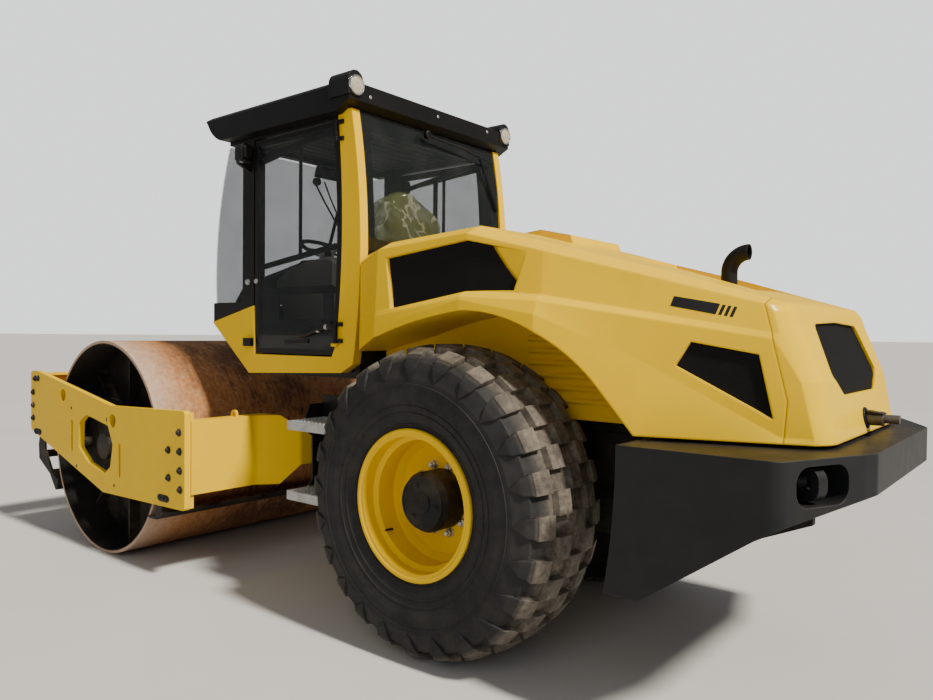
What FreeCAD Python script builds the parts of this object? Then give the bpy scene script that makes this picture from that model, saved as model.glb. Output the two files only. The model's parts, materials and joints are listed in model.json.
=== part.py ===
import FreeCAD, Part
import math
import os

# Single-drum road roller with an articulated frame, a closed cab and a one-piece engine hood.
# Lengths are in millimetres. X runs forward from the rear axle towards the drum, Y to the left,
# Z up from the ground. save() moves every piece so that the origin lies under the middle of the
# machine's length.

# Places along the machine, each from the one behind it
TYRE_R = 760.0
DRUM_R = 750.0
REAR_END = -1871.0          # rear of the ballast
STEP_REAR = TYRE_R + 30.0
STEP_LENGTH = 320.0
STEP_FRONT = STEP_REAR + STEP_LENGTH
RAIL_FRONT = STEP_FRONT + 90.0
PIVOT_X = RAIL_FRONT + 280.0
NECK_REAR = PIVOT_X + 130.0         # rear face of the rear beam's neck
BEAM_REAR = NECK_REAR + 190.0       # rear face of the rear beam beside the side plates
SIDE_REAR = BEAM_REAR + 12.0
WHEELBASE = BEAM_REAR + 410.0 + DRUM_R      # rear axle to drum axle, 2960
FRONT_END = WHEELBASE + DRUM_R + 320.0      # front of the drum frame
MIDDLE_X = (FRONT_END + REAR_END) / 2

# General clearances
SEAT_GAP = 0.3              # between pieces that seat on each other
MOVE_GAP = 6.0              # between pieces that move past each other
RUNNING = 0.05              # radial clearance of a shaft in its hole

# Drum
DRUM_HALF = 1065.0
DRUM_WALL = 25.0
DRUM_DISC_Y = 800.0         # outer face of the end discs
DRUM_DISC_T = 30.0
DRUM_SHAFT_R = 70.0
RIB_COUNT = 8               # ribs on each end disc
RIB_T = 16.0
RIB_INNER = 175.0
RIB_DEPTH = 80.0
CARRIER_Y = 990.0           # plate that carries the drum, on rubber buffers
CARRIER_PLATE_R = 342.0
BUFFER_R = 40.0
BUFFERS = ((300.0, 0.0), (-300.0, 0.0), (225.0, 240.0), (-225.0, -240.0))   # from the drum's axle

# Drum frame
SIDE_Y = 1125.0             # outer face of the side plates
SIDE_T = 40.0
SIDE_IN = SIDE_Y - SIDE_T
# Window corners, lashing holes and slots of a side plate: x from the drum's axle, z
WINDOW = ((251.0, 729.0), (243.0, 906.0), (196.0, 941.0), (128.0, 969.0), (-183.0, 917.0),
          (-250.0, 791.0), (-215.0, 635.0), (-133.0, 581.0), (108.0, 629.0))
LASH_HOLE_R = 46.0
LASH_HOLES = ((510.0, 1090.0), (-245.0, 955.0))
# x, z, half-width, half-height
SIDE_SLOTS = ((363.0, 802.0, 15.0, 116.0), (-343.0, 695.0, 15.0, 114.0))
FLANGE_T = 25.0             # rear beam's end flanges, inside the plates
FLANGE_LENGTH = 220.0
BEAM_T = 30.0               # plate of the cross beams
BEAM_TOP = 1022.0
BEAM_BOTTOM = 565.0
BEAM_DEPTH = 90.0
BEAM_BEND_Y = 625.0
FLANGE_LOW = 480.0
FLANGE_HIGH = 1070.0
NECK_Y = 395.0
NECK_BOTTOM = 690.0
NECK_TOP = 935.0
LIFT_EYE_Y = 750.0
FRONT_BEAM_TOP = 1235.0
FRONT_BEAM_BOTTOM = 850.0
FRONT_BEAM_DEPTH = 75.0
SCRAPER_T = 20.0
SCRAPER_GAP = 14.0          # scraper's edge to the drum
SCRAPER_REAR_Z = 350.0
SCRAPER_FRONT_Z = 430.0
BRACKET_T = 16.0

# Articulation
PIVOT_Z = 760.0
PIN_R = 50.0
EAR_HALF = 115.0
EAR_T = 40.0
EAR_GAP_HALF = 140.0        # half the space between the two ears
LINK_HALF_X = 85.0
LINK_HALF_Y = 110.0
JOURNAL_R = 90.0
JOURNAL_LENGTH = 190.0
JOURNAL_SEAT = 130.0        # length of the bearing on the journal
ARM_Y = 200.0               # steering arm's eye, from the middle
ARM_R = 42.0
ARM_T = 34.0
ARM_DROP = 28.0             # arm's middle below the articulation's height

# Steering cylinders
BARREL_X = PIVOT_X - 480.0
BARREL_Y = 192.0
BARREL_R = 38.0
BARREL_LENGTH = 285.0
ROD_R = 20.0
ROD_EYE_R = 36.0
CYLINDER_RISE = 50.0        # cylinder axis above the articulation's height
EYE_HALF = 26.0
CYLINDER_PIN_R = 16.0

# Rear frame
RAIL_IN = 280.0
RAIL_T = 40.0
RAIL_OUT = RAIL_IN + RAIL_T
RAIL_REAR = -1590.0
RAIL_TOP = 1090.0
RAIL_BOTTOM = 600.0
CROSS_T = 40.0

# Rear axle and wheels
AXLE_Z = 760.0
AXLE_TUBE_R = 105.0
AXLE_BULGE_R = 190.0
CARRIER_R = 175.0
CARRIER_FACE = 462.0
TYRE_Y = 775.0
TYRE_HALF = 294.0
CROWN_R = 500.0             # radius of the tread's crown across the tyre
TREAD_PITCHES = 24
TREAD_SPACING = 106.0       # between the rows of tread blocks
TREAD_EDGE = 264.0
LUG_HEIGHT = 30.0
LUG_SINK = 12.0             # depth of a block's foot in the casing
LUG_LENGTH = 106.0          # along the tread
LUG_WIDTH = 82.0            # across it
BEAD_R = 338.0
BEAD_HALF = 255.0
RIM_FLANGE_R = 362.0
RIM_WALL = 14.0
RIM_STEP_R = 300.0
DISC_Y = 815.0              # outer face of the wheel's disc
DISC_T = 22.0
HUB_R = 146.0
HUB_END = 968.0
NUT_PCD = 340.0
NUT_COUNT = 10
NUT_HOLE_R = 11.0

# Ballast
BALLAST_Y = 1010.0
BALLAST_TOP = 1145.0
BALLAST_FRONT = -1048.0
BALLAST_BOTTOM = 557.0
BALLAST_BAY_Y = 500.0
BALLAST_BAY_REAR = -1560.0
TOW_T = 44.0
TOW_HOLE_R = 27.0
TOW_Z = 1048.0

# Hood
HOOD_BASE = BALLAST_TOP + 15.0
HOOD_WALL = 14.0
HOOD_FRONT = 716.0
HOOD_SEAM_GAP = 0.8
HOOD_HINGE_X = 690.0
HOOD_HINGE_Z = HOOD_BASE + 825.0
HOOD_HINGE_R = 18.0
STACK_X = -1107.0
STACK_R = 38.0
STACK_WALL = 4.0
GRILLE_T = 8.0
STACK_BEND_R = 95.0
LATCH_FRONT = -1696.0
LATCH_END = -1847.0
LATCH_Z = HOOD_BASE + 62.0
LATCH_R = 31.0
LATCH_TIP_R = 19.0

# Cab
CAB_Y = 692.0               # outer face of the yellow side frames
CAB_SIDE_T = 60.0
CAB_FLOOR_Z = 1345.0
CAB_FLOOR_T = 40.0
CAB_TOP = 2845.0
DOOR_T = 36.0
DOOR_RAIL = 42.0
DOOR_FRONT = 1716.0         # front edge of the door
GLASS_T = 6.0
DOOR_HINGE_X = 922.0
DOOR_HINGE_Y = CAB_Y + 14.0
ROOF_TOP = CAB_TOP + 155.0
ROOF_SKIRT = CAB_TOP - 26.0   # lower edge of the roof's sides
ROOF_REAR = 770.0
ROOF_FRONT = 2194.0
ROOF_HALF = CAB_Y + 60.0    # half-width of the roof
LAMP_R = 57.0
LAMP_Y = ROOF_HALF + 8 - LAMP_R     # middle of the rear lamps, in the roof's rear corners
LENS_R = 50.0
LENS_DEPTH = 18.0
LAMP_BASE = CAB_TOP + 58.0
LAMP_ARCH = CAB_TOP + 143.0   # middle of the lamp's round top
LAMP_LENS = CAB_TOP + 115.0   # middle of the lens
LAMP_LENGTH = 166.0

# Steps
STEP_OUT = 900.0
STEP_IN = 700.0
STEP_T = 52.0


def vec(x, y, z):
    return FreeCAD.Vector(x, y, z)


AXIS_X = vec(1, 0, 0)
AXIS_Y = vec(0, 1, 0)
AXIS_Z = vec(0, 0, 1)


# Shape helpers

def box(x0, x1, y0, y1, z0, z1):
    return Part.makeBox(x1 - x0, y1 - y0, z1 - z0, vec(x0, y0, z0))


def rounded_face(points, radii):
    """Face inside a closed outline, each corner rounded by its own radius (0 keeps it sharp)."""
    count = len(points)
    cuts = []
    for i in range(count):
        here = points[i]
        back = (points[i - 1] - here).normalize()
        ahead = (points[(i + 1) % count] - here).normalize()
        half = back.getAngle(ahead) / 2
        reach = radii[i] / math.tan(half) if radii[i] else 0.0
        middle = (back + ahead).normalize() * (radii[i] / math.sin(half) - radii[i])
        cuts.append((here + back * reach, here + middle, here + ahead * reach))
    edges = []
    for i in range(count):
        start, middle, end = cuts[i]
        if radii[i]:
            edges.append(Part.Arc(start, middle, end).toShape())
        following = cuts[(i + 1) % count][0]
        if (following - end).Length > 1e-6:
            edges.append(Part.LineSegment(end, following).toShape())
    return Part.Face(Part.Wire(edges))


def place(plane, a, b, depth):
    if plane == "xz":
        return vec(a, depth, b)
    if plane == "xy":
        return vec(a, b, depth)
    return vec(depth, a, b)


NORMALS = {"xz": AXIS_Y, "xy": AXIS_Z, "yz": AXIS_X}


def prism(plane, outline, low, high, radii=0.0):
    """Prism of an outline of (a, b) points in a plane, between two depths along its normal."""
    if isinstance(radii, (int, float)):
        radii = [radii] * len(outline)
    points = [place(plane, a, b, low) for a, b in outline]
    return rounded_face(points, radii).extrude(NORMALS[plane] * (high - low))


def path_face(plane, start, steps, depth):
    """Face inside an outline of lines and arcs; a step is (a, b) or (via_a, via_b, a, b)."""
    edges = []
    here = place(plane, start[0], start[1], depth)
    for step in steps:
        end = place(plane, step[-2], step[-1], depth)
        if len(step) == 4:
            edges.append(Part.Arc(here, place(plane, step[0], step[1], depth), end).toShape())
        else:
            edges.append(Part.LineSegment(here, end).toShape())
        here = end
    return Part.Face(Part.Wire(edges))


def path_prism(plane, start, steps, low, high):
    return path_face(plane, start, steps, low).extrude(NORMALS[plane] * (high - low))


def cylinder(x, y, z, axis, radius, length):
    return Part.makeCylinder(radius, length, vec(x, y, z), axis)


def spin(profile, x, z):
    """Solid of a closed (y, radius) outline turned about the line through x, z along Y."""
    points = [vec(x, y, z + r) for y, r in profile]
    face = Part.Face(Part.makePolygon(points + points[:1]))
    return face.revolve(vec(x, 0, z), AXIS_Y, 360)


def mirrored(shape):
    return shape.mirror(vec(0, 0, 0), AXIS_Y)


def fused(shapes):
    shapes = list(shapes)
    return shapes[0].multiFuse(shapes[1:]).removeSplitter()


def both_sides(shape):
    return Part.makeCompound([shape, mirrored(shape)])


def save(name, shape):
    moved = shape.copy()
    moved.translate(vec(-MIDDLE_X, 0, 0))
    moved.exportStep("parts/" + name + ".step")


# Wheels and rear axle

def crown(y):
    """Radius of the tread's outside, at a distance from the tyre's middle; flat on the middle row."""
    beside = max(abs(y) - LUG_WIDTH / 2, 0.0)
    return TYRE_R - CROWN_R + math.sqrt(CROWN_R ** 2 - beside ** 2)


def tyre():
    """Casing with staggered rows of tread blocks."""
    half_row = TREAD_SPACING / 2
    floor_y = [half_row, 3 * half_row, TREAD_EDGE]
    outside = [(BEAD_HALF, BEAD_R), (BEAD_HALF, RIM_FLANGE_R + 2), (BEAD_HALF + 16, 410),
               (TYRE_HALF, 520), (TYRE_HALF - 5, 600)]
    outside += [(y, crown(y) - LUG_HEIGHT) for y in reversed(floor_y)]
    profile = outside + [(-y, r) for y, r in reversed(outside)]
    shape = spin([(TYRE_Y + y, r) for y, r in profile], 0, AXLE_Z)
    blocks = []
    for row in range(-2, 3):
        for i in range(TREAD_PITCHES):
            blocks.append(tread_block(row * TREAD_SPACING, i + row % 2 / 2))
    return shape.multiFuse(blocks)


def tread_block(y, pitches):
    """Block on the tread, at a distance from the tyre's middle and a number of pitches round it."""
    foot = LUG_WIDTH / 2 + 6
    top = LUG_WIDTH / 2
    sunk = LUG_HEIGHT + LUG_SINK
    profile = [(y - foot, crown(y - foot) - sunk), (y - top, crown(y - top)),
               (y + top, crown(y + top)), (y + foot, crown(y + foot) - sunk)]
    points = [vec(0, TYRE_Y + a, r) for a, r in profile]
    face = Part.Face(Part.makePolygon(points + points[:1]))
    turn = math.degrees(LUG_LENGTH / TYRE_R)
    face.rotate(vec(0, 0, 0), AXIS_Y, 360.0 / TREAD_PITCHES * pitches - turn / 2)
    block = face.revolve(vec(0, 0, 0), AXIS_Y, turn)
    block.translate(vec(0, 0, AXLE_Z))
    return block


def rim():
    out = TYRE_Y + BEAD_HALF
    back = TYRE_Y - BEAD_HALF
    seat = BEAD_R - SEAT_GAP
    bore = HUB_R + SEAT_GAP
    profile = [
        (out + 14, RIM_FLANGE_R), (out + SEAT_GAP, RIM_FLANGE_R), (out + SEAT_GAP, seat),
        (back - SEAT_GAP, seat), (back - SEAT_GAP, RIM_FLANGE_R), (back - 14, RIM_FLANGE_R),
        (back - 14, seat - RIM_WALL), (DISC_Y - DISC_T, seat - RIM_WALL),
        (DISC_Y - DISC_T, bore), (DISC_Y, bore), (DISC_Y, RIM_STEP_R - 30),
        (DISC_Y + 40, RIM_STEP_R), (out - 70, RIM_STEP_R), (out - 55, seat - RIM_WALL),
        (out + 14, seat - RIM_WALL)]
    shape = spin(profile, 0, AXLE_Z)
    for i in range(NUT_COUNT):
        turn = 2 * math.pi * i / NUT_COUNT
        x = NUT_PCD / 2 * math.cos(turn)
        z = AXLE_Z + NUT_PCD / 2 * math.sin(turn)
        shape = shape.cut(cylinder(x, DISC_Y - 60, z, AXIS_Y, NUT_HOLE_R, 100))
    return shape


def hub():
    flange_r = NUT_PCD / 2 + 35
    seat = DISC_Y - DISC_T - SEAT_GAP
    profile = [
        (CARRIER_FACE + SEAT_GAP, 0), (CARRIER_FACE + SEAT_GAP, 160), (seat - 90, 175),
        (seat - 50, flange_r), (seat, flange_r), (seat, HUB_R),
        (HUB_END - 30, HUB_R), (HUB_END, HUB_R - 22), (HUB_END, 0)]
    return spin(profile, 0, AXLE_Z)


def rear_axle():
    profile = [
        (-CARRIER_FACE, 0), (-CARRIER_FACE, CARRIER_R), (-CARRIER_FACE + 60, CARRIER_R),
        (-RAIL_OUT - 30, AXLE_TUBE_R), (-RAIL_IN + 30, AXLE_TUBE_R), (-140, AXLE_BULGE_R),
        (140, AXLE_BULGE_R), (RAIL_IN - 30, AXLE_TUBE_R), (RAIL_OUT + 30, AXLE_TUBE_R),
        (CARRIER_FACE - 60, CARRIER_R), (CARRIER_FACE, CARRIER_R), (CARRIER_FACE, 0)]
    return spin(profile, 0, AXLE_Z)


# Rear frame

def rear_chassis():
    rail = prism("xz", [
        (RAIL_REAR, 790), (-1150, RAIL_BOTTOM), (RAIL_FRONT, RAIL_BOTTOM),
        (RAIL_FRONT, 960), (RAIL_FRONT - 150, RAIL_TOP), (RAIL_REAR, RAIL_TOP)],
        RAIL_IN, RAIL_OUT, [0, 60, 30, 30, 60, 0])
    axle_hole = cylinder(0, 0, AXLE_Z, AXIS_Y, AXLE_TUBE_R + SEAT_GAP, RAIL_OUT + 50)
    rail = rail.cut(axle_hole)
    pieces = [rail, mirrored(rail)]
    ear_rear = RAIL_FRONT - 340
    crosses = ((RAIL_REAR, 840, RAIL_TOP), (-900, 640, 760), (420, 640, 1000))  # x, low z, high z
    for x, low, high in crosses:
        pieces.append(box(x, x + CROSS_T, -RAIL_IN, RAIL_IN, low, high))
    for side in (-1, 1):
        middle = PIVOT_Z + side * (EAR_GAP_HALF + EAR_T / 2)
        ear = prism("xy", [
            (PIVOT_X + EAR_HALF, EAR_HALF), (PIVOT_X - 60, EAR_HALF),
            (RAIL_FRONT, RAIL_IN), (ear_rear, RAIL_IN), (ear_rear, -RAIL_IN),
            (RAIL_FRONT, -RAIL_IN),
            (PIVOT_X - 60, -EAR_HALF), (PIVOT_X + EAR_HALF, -EAR_HALF)],
            middle - EAR_T / 2, middle + EAR_T / 2, [80, 0, 0, 0, 0, 0, 0, 80])
        pieces.append(ear)
    shape = fused(pieces)
    pin = cylinder(PIVOT_X, 0, PIVOT_Z - 300, AXIS_Z, PIN_R + RUNNING, 600)
    shape = shape.cut(pin)
    for side in (-1, 1):
        shape = shape.cut(cylinder(BARREL_X, side * BARREL_Y, PIVOT_Z - 300, AXIS_Z,
                                   CYLINDER_PIN_R + RUNNING, 600))
    return shape


def rear_ballast():
    side = path_prism("xz", (BALLAST_FRONT, BALLAST_TOP), [
        (-1038, 860, -1000, BALLAST_BOTTOM), (-1150, BALLAST_BOTTOM), (-1580, 862),
        (-1679, 919), (REAR_END, 990), (REAR_END, BALLAST_TOP),
        (BALLAST_FRONT, BALLAST_TOP)], -BALLAST_Y - 10, BALLAST_Y + 10)
    corner = -1664.0
    plan = prism("xy", [
        (-900, BALLAST_Y), (corner, BALLAST_Y), (-1842, 615), (REAR_END, 540),
        (REAR_END, -540), (-1842, -615), (corner, -BALLAST_Y), (-900, -BALLAST_Y)],
        BALLAST_BOTTOM - 50, BALLAST_TOP + 50, [0, 60, 60, 60, 60, 60, 60, 0])
    shape = side.common(plan)
    bay = box(BALLAST_BAY_REAR, -900, -BALLAST_BAY_Y, BALLAST_BAY_Y,
              BALLAST_BOTTOM - 50, BALLAST_TOP + 50)
    shape = shape.cut(bay)
    rail_slot = box(RAIL_REAR - SEAT_GAP, -900, -RAIL_OUT - SEAT_GAP, RAIL_OUT + SEAT_GAP,
                    BALLAST_BOTTOM - 50, BALLAST_TOP + 50)
    shape = shape.cut(rail_slot)
    for side_sign in (1, -1):
        shape = shape.cut(tow_pocket(side_sign))
        shape = shape.fuse(tow_lug(side_sign))
    return shape.removeSplitter()


def corner_frame(side_sign):
    """Placement on the ballast's sloping rear corner: local x outward, y along the face."""
    start = vec(-1664, BALLAST_Y, 0)
    end = vec(-1842, 615, 0)
    middle = (start + end) * 0.5
    run = (end - start).normalize()
    angle = math.degrees(math.atan2(run.y, run.x))
    placement = FreeCAD.Placement(vec(middle.x, middle.y, TOW_Z),
                                  FreeCAD.Rotation(AXIS_Z, angle - 90))
    return placement


def tow_pocket(side_sign):
    pocket = prism("yz", [(-135, -72), (135, -72), (135, 72), (-135, 72)], -170, 60, 60)
    pocket.Placement = corner_frame(side_sign)
    return pocket if side_sign > 0 else mirrored(pocket)


def tow_lug(side_sign):
    lug = prism("xz", [(-190, -80), (0, -55), (0, 55), (-190, 80)],
                -TOW_T / 2, TOW_T / 2, [0, 50, 50, 0])
    hole = cylinder(-60, -TOW_T, 0, AXIS_Y, TOW_HOLE_R, 2 * TOW_T)
    lug = lug.cut(hole)
    lug.Placement = corner_frame(side_sign)
    return lug if side_sign > 0 else mirrored(lug)


def engine_block():
    half = RAIL_IN - SEAT_GAP
    return box(-900, -80, -half, half, RAIL_TOP - 125, HOOD_BASE + 500)


# Hood

# Sections of the hood, front to rear: x; half-width at the foot; half-width and height of the lower
# crease, of the chamfer under the upper panel and its top, of the shoulder crease and of the top
# edge; crown height. Heights are counted from the hood's base.
HOOD_SECTIONS = (
    # x, foot y, y3, z3, y2, z2, y2i, z2i, y1, z1, top y, top z, crown z
    (HOOD_FRONT, 712, 710, 400, 708, 480, 706, 505, 704, 802, 640, 852, 862),
    (400, 905, 903, 440, 900, 495, 896, 520, 880, 838, 780, 886, 896),
    (-190, 945, 935, 568, 930, 582, 900, 615, 885, 880, 770, 928, 938),
    (-600, 945, 925, 495, 905, 556, 870, 585, 850, 776, 700, 812, 830),
    (-1024, 833, 805, 318, 800, 485, 775, 513, 762, 662, 620, 698, 717),
    (-1556, 664, 655, 25, 655, 395, 645, 420, 632, 518, 540, 540, 548),
    (-1800, 586, 586, 20, 588, 354, 585, 377, 572, 452, 503, 467, 471),
)


def hood_section(row, inset, base):
    x, foot, y3, z3, y2, z2, y2i, z2i, y1, z1, top, ztop, crown = row
    half = [(y3, z3), (y2, z2), (y2i, z2i), (y1, z1), (top, ztop)]
    shrunk = [(foot - inset, base)]
    shrunk += [(y - inset, HOOD_BASE + z - inset) for y, z in half]
    outline = shrunk + [(0.0, HOOD_BASE + crown - inset)] + [(-y, z) for y, z in reversed(shrunk)]
    points = [vec(x, y, z) for y, z in outline]
    return Part.makePolygon(points + points[:1])


def hood_loft(inset, base, ahead=0.0):
    """Closed body through the hood's sections, carried on straight at its front."""
    rows = list(HOOD_SECTIONS)
    rows[0] = further(rows[1], rows[0], ahead)
    return Part.makeLoft([hood_section(row, inset, base) for row in rows], True, True)


def further(inner_row, end_row, distance):
    """Section that continues the straight run from one section through the next."""
    share = 1 + distance / abs(end_row[0] - inner_row[0])
    return tuple(a + (b - a) * share for a, b in zip(inner_row, end_row))


# Rear face of the hood, from below its base to above its top: x, height over the base, and the
# half-width where the face would meet the hood's sides
REAR_FACE = ((-1747, -100, 612), (-1681, 235, 627), (-1592, 452, 638), (-1574, 508, 636),
             (-1546, 542, 640), (-1480, 580, 660), (-900, 1000, 860))
REAR_CORNER_R = 150.0
SIDE_TAPER = 0.33           # sideways per length ahead of the round corners, just outside the hood


def rear_limit(inset):
    """Body that ends at the hood's sloping rear face, with round corners in plan."""
    radius = REAR_CORNER_R - inset
    wires = []
    for x, z, half in REAR_FACE:
        rear = x + inset
        corner = half - inset
        wide = corner + SIDE_TAPER * (1200 - rear)
        z += HOOD_BASE
        outline = [vec(1200, wide, z), vec(rear, corner, z), vec(rear, -corner, z), vec(1200, -wide, z)]
        wires.append(rounded_face(outline, [0, radius, radius, 0]).OuterWire)
    return Part.makeLoft(wires, True, True)


def hood_body(inset, base, ahead=0.0):
    """The whole hood as one closed body, drawn in by an inset."""
    return hood_loft(inset, base, ahead).common(rear_limit(inset))


# Joint between the hood's front shell and its tail: x, height over the base
SEAM = ((-1558, -110), (-1577, 163), (-1519, 416), (-1480, 559), (-1400, 860))


def behind_seam(gap):
    line = [(x - gap, HOOD_BASE + z) for x, z in SEAM]
    far = REAR_END - 50
    return prism("xz", [(far, line[-1][1]), (far, line[0][1])] + line, -1000, 1000)


# Wheel-arch edge, front to rear, in the side view; heights are counted from the hood's base
ARCH_START = (HOOD_FRONT + 60, 302.0)
ARCH_STEPS = [(372.0, 395.0), (80.0, 474.0, -190.0, 518.0),
              (-560.0, 440.0, -860.0, 212.0), (-1030.0, 0.0)]


def arch_cutter(grow, low, high):
    """Prism of the wheel arch, grown outwards by a wall thickness."""
    start = (ARCH_START[0], HOOD_BASE + ARCH_START[1] + grow)
    steps = []
    for step in ARCH_STEPS:
        raised = list(step)
        for i in range(0, len(raised), 2):
            raised[i] -= grow * 0.6 if raised[i] < -190 else 0.0
            raised[i + 1] += HOOD_BASE + grow
        steps.append(tuple(raised))
    steps[-1] = (steps[-1][0], HOOD_BASE)
    below = HOOD_BASE - 300
    steps += [(steps[-1][0], below), (start[0], below), start]
    return path_prism("xz", start, steps, low, high)


# Side vents in the side view, heights from the hood's base: the front opening, the wider recess
# outside it, and the rear opening
FRONT_GRILLE = ((318, 788), (-192, 844), (-516, 778), (-462, 606), (-192, 616), (256, 548))
FRONT_RECESS = ((412, 820), (-192, 864), (-528, 786), (-470, 600), (-188, 588), (356, 504))
SIDE_VENT = ((-1232, 386), (-1478, 340), (-1530, 92), (-1176, 290))
REAR_VENT = ((-345, 462), (0, 474), (345, 462), (392, 254), (280, 173), (-280, 173), (-392, 254))
VENT_LIP = 16.0             # the mesh plates reach behind the openings' edges

# Raised panel on the middle of the hood, and sunk channel behind it: x, height over the base
RAISED_PANEL = ((640, 870), (640, 895), (200, 925), (-190, 966), (-372, 925), (-386, 890), (-386, 840),
                (-190, 900), (200, 890))
PANEL_Y = 260.0
CHANNEL = ((-700, 1100), (-708, 770), (-1335, 590), (-1345, 1100))
CHANNEL_Y = 300.0


def channel(grow):
    outline = [(x + (grow if i < 2 else -grow), HOOD_BASE + z - grow)
               for i, (x, z) in enumerate(CHANNEL)]
    return prism("xz", outline, -CHANNEL_Y - grow, CHANNEL_Y + grow)


def hood_shell():
    """Front shell and tail as one hollow shell, before the seam parts them."""
    panel = prism("xz", raised(RAISED_PANEL), -PANEL_Y, PANEL_Y)
    outer = hood_body(0, HOOD_BASE).fuse(panel).cut(channel(0))
    inner = hood_body(HOOD_WALL, HOOD_BASE - 60, 40).cut(channel(HOOD_WALL))
    return outer.cut(inner)


def raised(outline):
    """Outline with its heights counted from the ground instead of the hood's base."""
    return [(a, HOOD_BASE + z) for a, z in outline]


def hood_front_shell():
    shell = hood_shell().cut(behind_seam(0))
    shell = shell.cut(arch_cutter(0, -1100, 1100))
    outside = [vec(x, 960, z) for x, z in raised(FRONT_RECESS)]
    inside = [vec(x, 860, z) for x, z in raised(FRONT_GRILLE)]
    recess = Part.makeLoft([Part.makePolygon(outside + outside[:1]),
                            Part.makePolygon(inside + inside[:1])], True, True)
    rear_vent = prism("xz", raised(SIDE_VENT), 560, 900)
    for cutter in (recess, rear_vent):
        shell = shell.cut(cutter)
        shell = shell.cut(mirrored(cutter))
    stack_hole = cylinder(STACK_X, 0, HOOD_BASE + 540, AXIS_Z, STACK_R + SEAT_GAP, 400)
    shell = shell.cut(stack_hole)
    for y in HINGE_Y:
        shell = shell.fuse(hood_knuckle(y))
    return shell


HINGE_Y = (-360.0, 360.0)
KNUCKLE_HALF = 25.0


def hood_knuckle(y):
    eye = cylinder(HOOD_HINGE_X, y - KNUCKLE_HALF, HOOD_HINGE_Z, AXIS_Y, HOOD_HINGE_R + 14,
                   2 * KNUCKLE_HALF)
    web = box(HOOD_HINGE_X - 60, HOOD_HINGE_X + 10, y - KNUCKLE_HALF, y + KNUCKLE_HALF,
              HOOD_HINGE_Z + 5, HOOD_HINGE_Z + 24)
    hole = cylinder(HOOD_HINGE_X, y - 40, HOOD_HINGE_Z, AXIS_Y, HOOD_HINGE_R + RUNNING, 80)
    return eye.fuse(web).cut(hole)


def hood_portal():
    """Upright frame behind the cab that carries the hood's hinge tube."""
    tube = cylinder(HOOD_HINGE_X, -460, HOOD_HINGE_Z, AXIS_Y, HOOD_HINGE_R, 920)
    pieces = [tube]
    rear = HOOD_HINGE_X - 60
    for sign in (1, -1):
        y0, y1 = sorted((sign * RAIL_IN, sign * (RAIL_IN + 50)))
        pieces.append(box(rear, rear + 50, y0, y1, RAIL_TOP + SEAT_GAP, HOOD_HINGE_Z - 45))
        pieces.append(box(rear, HOOD_HINGE_X + 8, y0, y1, HOOD_HINGE_Z - 85, HOOD_HINGE_Z - 5))
    pieces.append(box(rear, rear + 50, -RAIL_IN, RAIL_IN, HOOD_HINGE_Z - 425, HOOD_HINGE_Z - 375))
    return fused(pieces)


def wheelhouse():
    """Arch liner: a curved roof over the tyre and an upright wall with long ribs."""
    inner = hood_loft(HOOD_WALL + SEAT_GAP, HOOD_BASE - 60, 40)
    roof = arch_cutter(12, LINER_Y, 960).cut(arch_cutter(0, LINER_Y + 12, 970))
    roof = roof.cut(box(-1200, 900, 400, 1000, HOOD_BASE - 400, HOOD_BASE))
    liner = roof.common(inner)
    ribs = []
    for height in RIB_HEIGHTS:
        z = HOOD_BASE + height
        rib = prism("yz", [(LINER_Y + 11, z - 16), (LINER_Y + 22, z - 8), (LINER_Y + 22, z + 8),
                           (LINER_Y + 11, z + 16)], -990, -260)
        ribs.append(rib.common(arch_cutter(0, LINER_Y, 960)))
    return liner.multiFuse(ribs).removeSplitter()


LINER_Y = 446.0
RIB_HEIGHTS = (90.0, 150.0, 210.0, 270.0, 330.0, 390.0)     # over the hood's base


def hood_tail():
    """Rear end of the hood, with round corners and a sloping rear face."""
    shell = hood_shell().common(behind_seam(HOOD_SEAM_GAP))
    shell = shell.cut(prism("yz", raised(REAR_VENT), REAR_END, -1500, [35, 0, 35, 30, 40, 40, 30]))
    return shell.cut(cylinder(LATCH_END, 0, LATCH_Z, AXIS_X, LATCH_R + SEAT_GAP, 200))


def grown(outline, lip):
    """Outline moved away from its middle by a lip on each side."""
    middle_a = sum(a for a, z in outline) / len(outline)
    middle_z = sum(z for a, z in outline) / len(outline)
    return [(a + math.copysign(lip, a - middle_a), z + math.copysign(lip, z - middle_z))
            for a, z in outline]


def hood_grilles():
    """Mesh plates behind the hood's four side openings and its rear opening."""
    inner = hood_body(HOOD_WALL + SEAT_GAP, HOOD_BASE - 60, 40)
    core = hood_body(HOOD_WALL + SEAT_GAP + GRILLE_T, HOOD_BASE - 80, 60)
    skin = inner.cut(core)
    plates = []
    for outline in (FRONT_GRILLE, SIDE_VENT):
        plates.append(skin.common(prism("xz", raised(grown(outline, VENT_LIP)), 400, 1000)))
    rear_outline = [REAR_VENT[i] for i in (0, 2, 3, 4, 5, 6)]
    rear = skin.common(prism("yz", raised(grown(rear_outline, VENT_LIP)), REAR_END, -1500, 25))
    return Part.makeCompound(plates + [mirrored(p) for p in plates] + [rear])


def exhaust_stack():
    """Upright pipe with a curved end."""
    foot = HOOD_BASE + 620
    bend = HOOD_BASE + 715
    turned = []
    for radius in (STACK_R, STACK_R - STACK_WALL):
        upright = cylinder(STACK_X, 0, foot, AXIS_Z, radius, bend - foot)
        section = Part.Face(Part.Wire(Part.makeCircle(radius, vec(STACK_X, 0, bend), AXIS_Z)))
        curve = section.revolve(vec(STACK_X - STACK_BEND_R, 0, bend), AXIS_Y, -90)
        turned.append(upright.fuse(curve))
    return turned[0].cut(turned[1])


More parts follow.
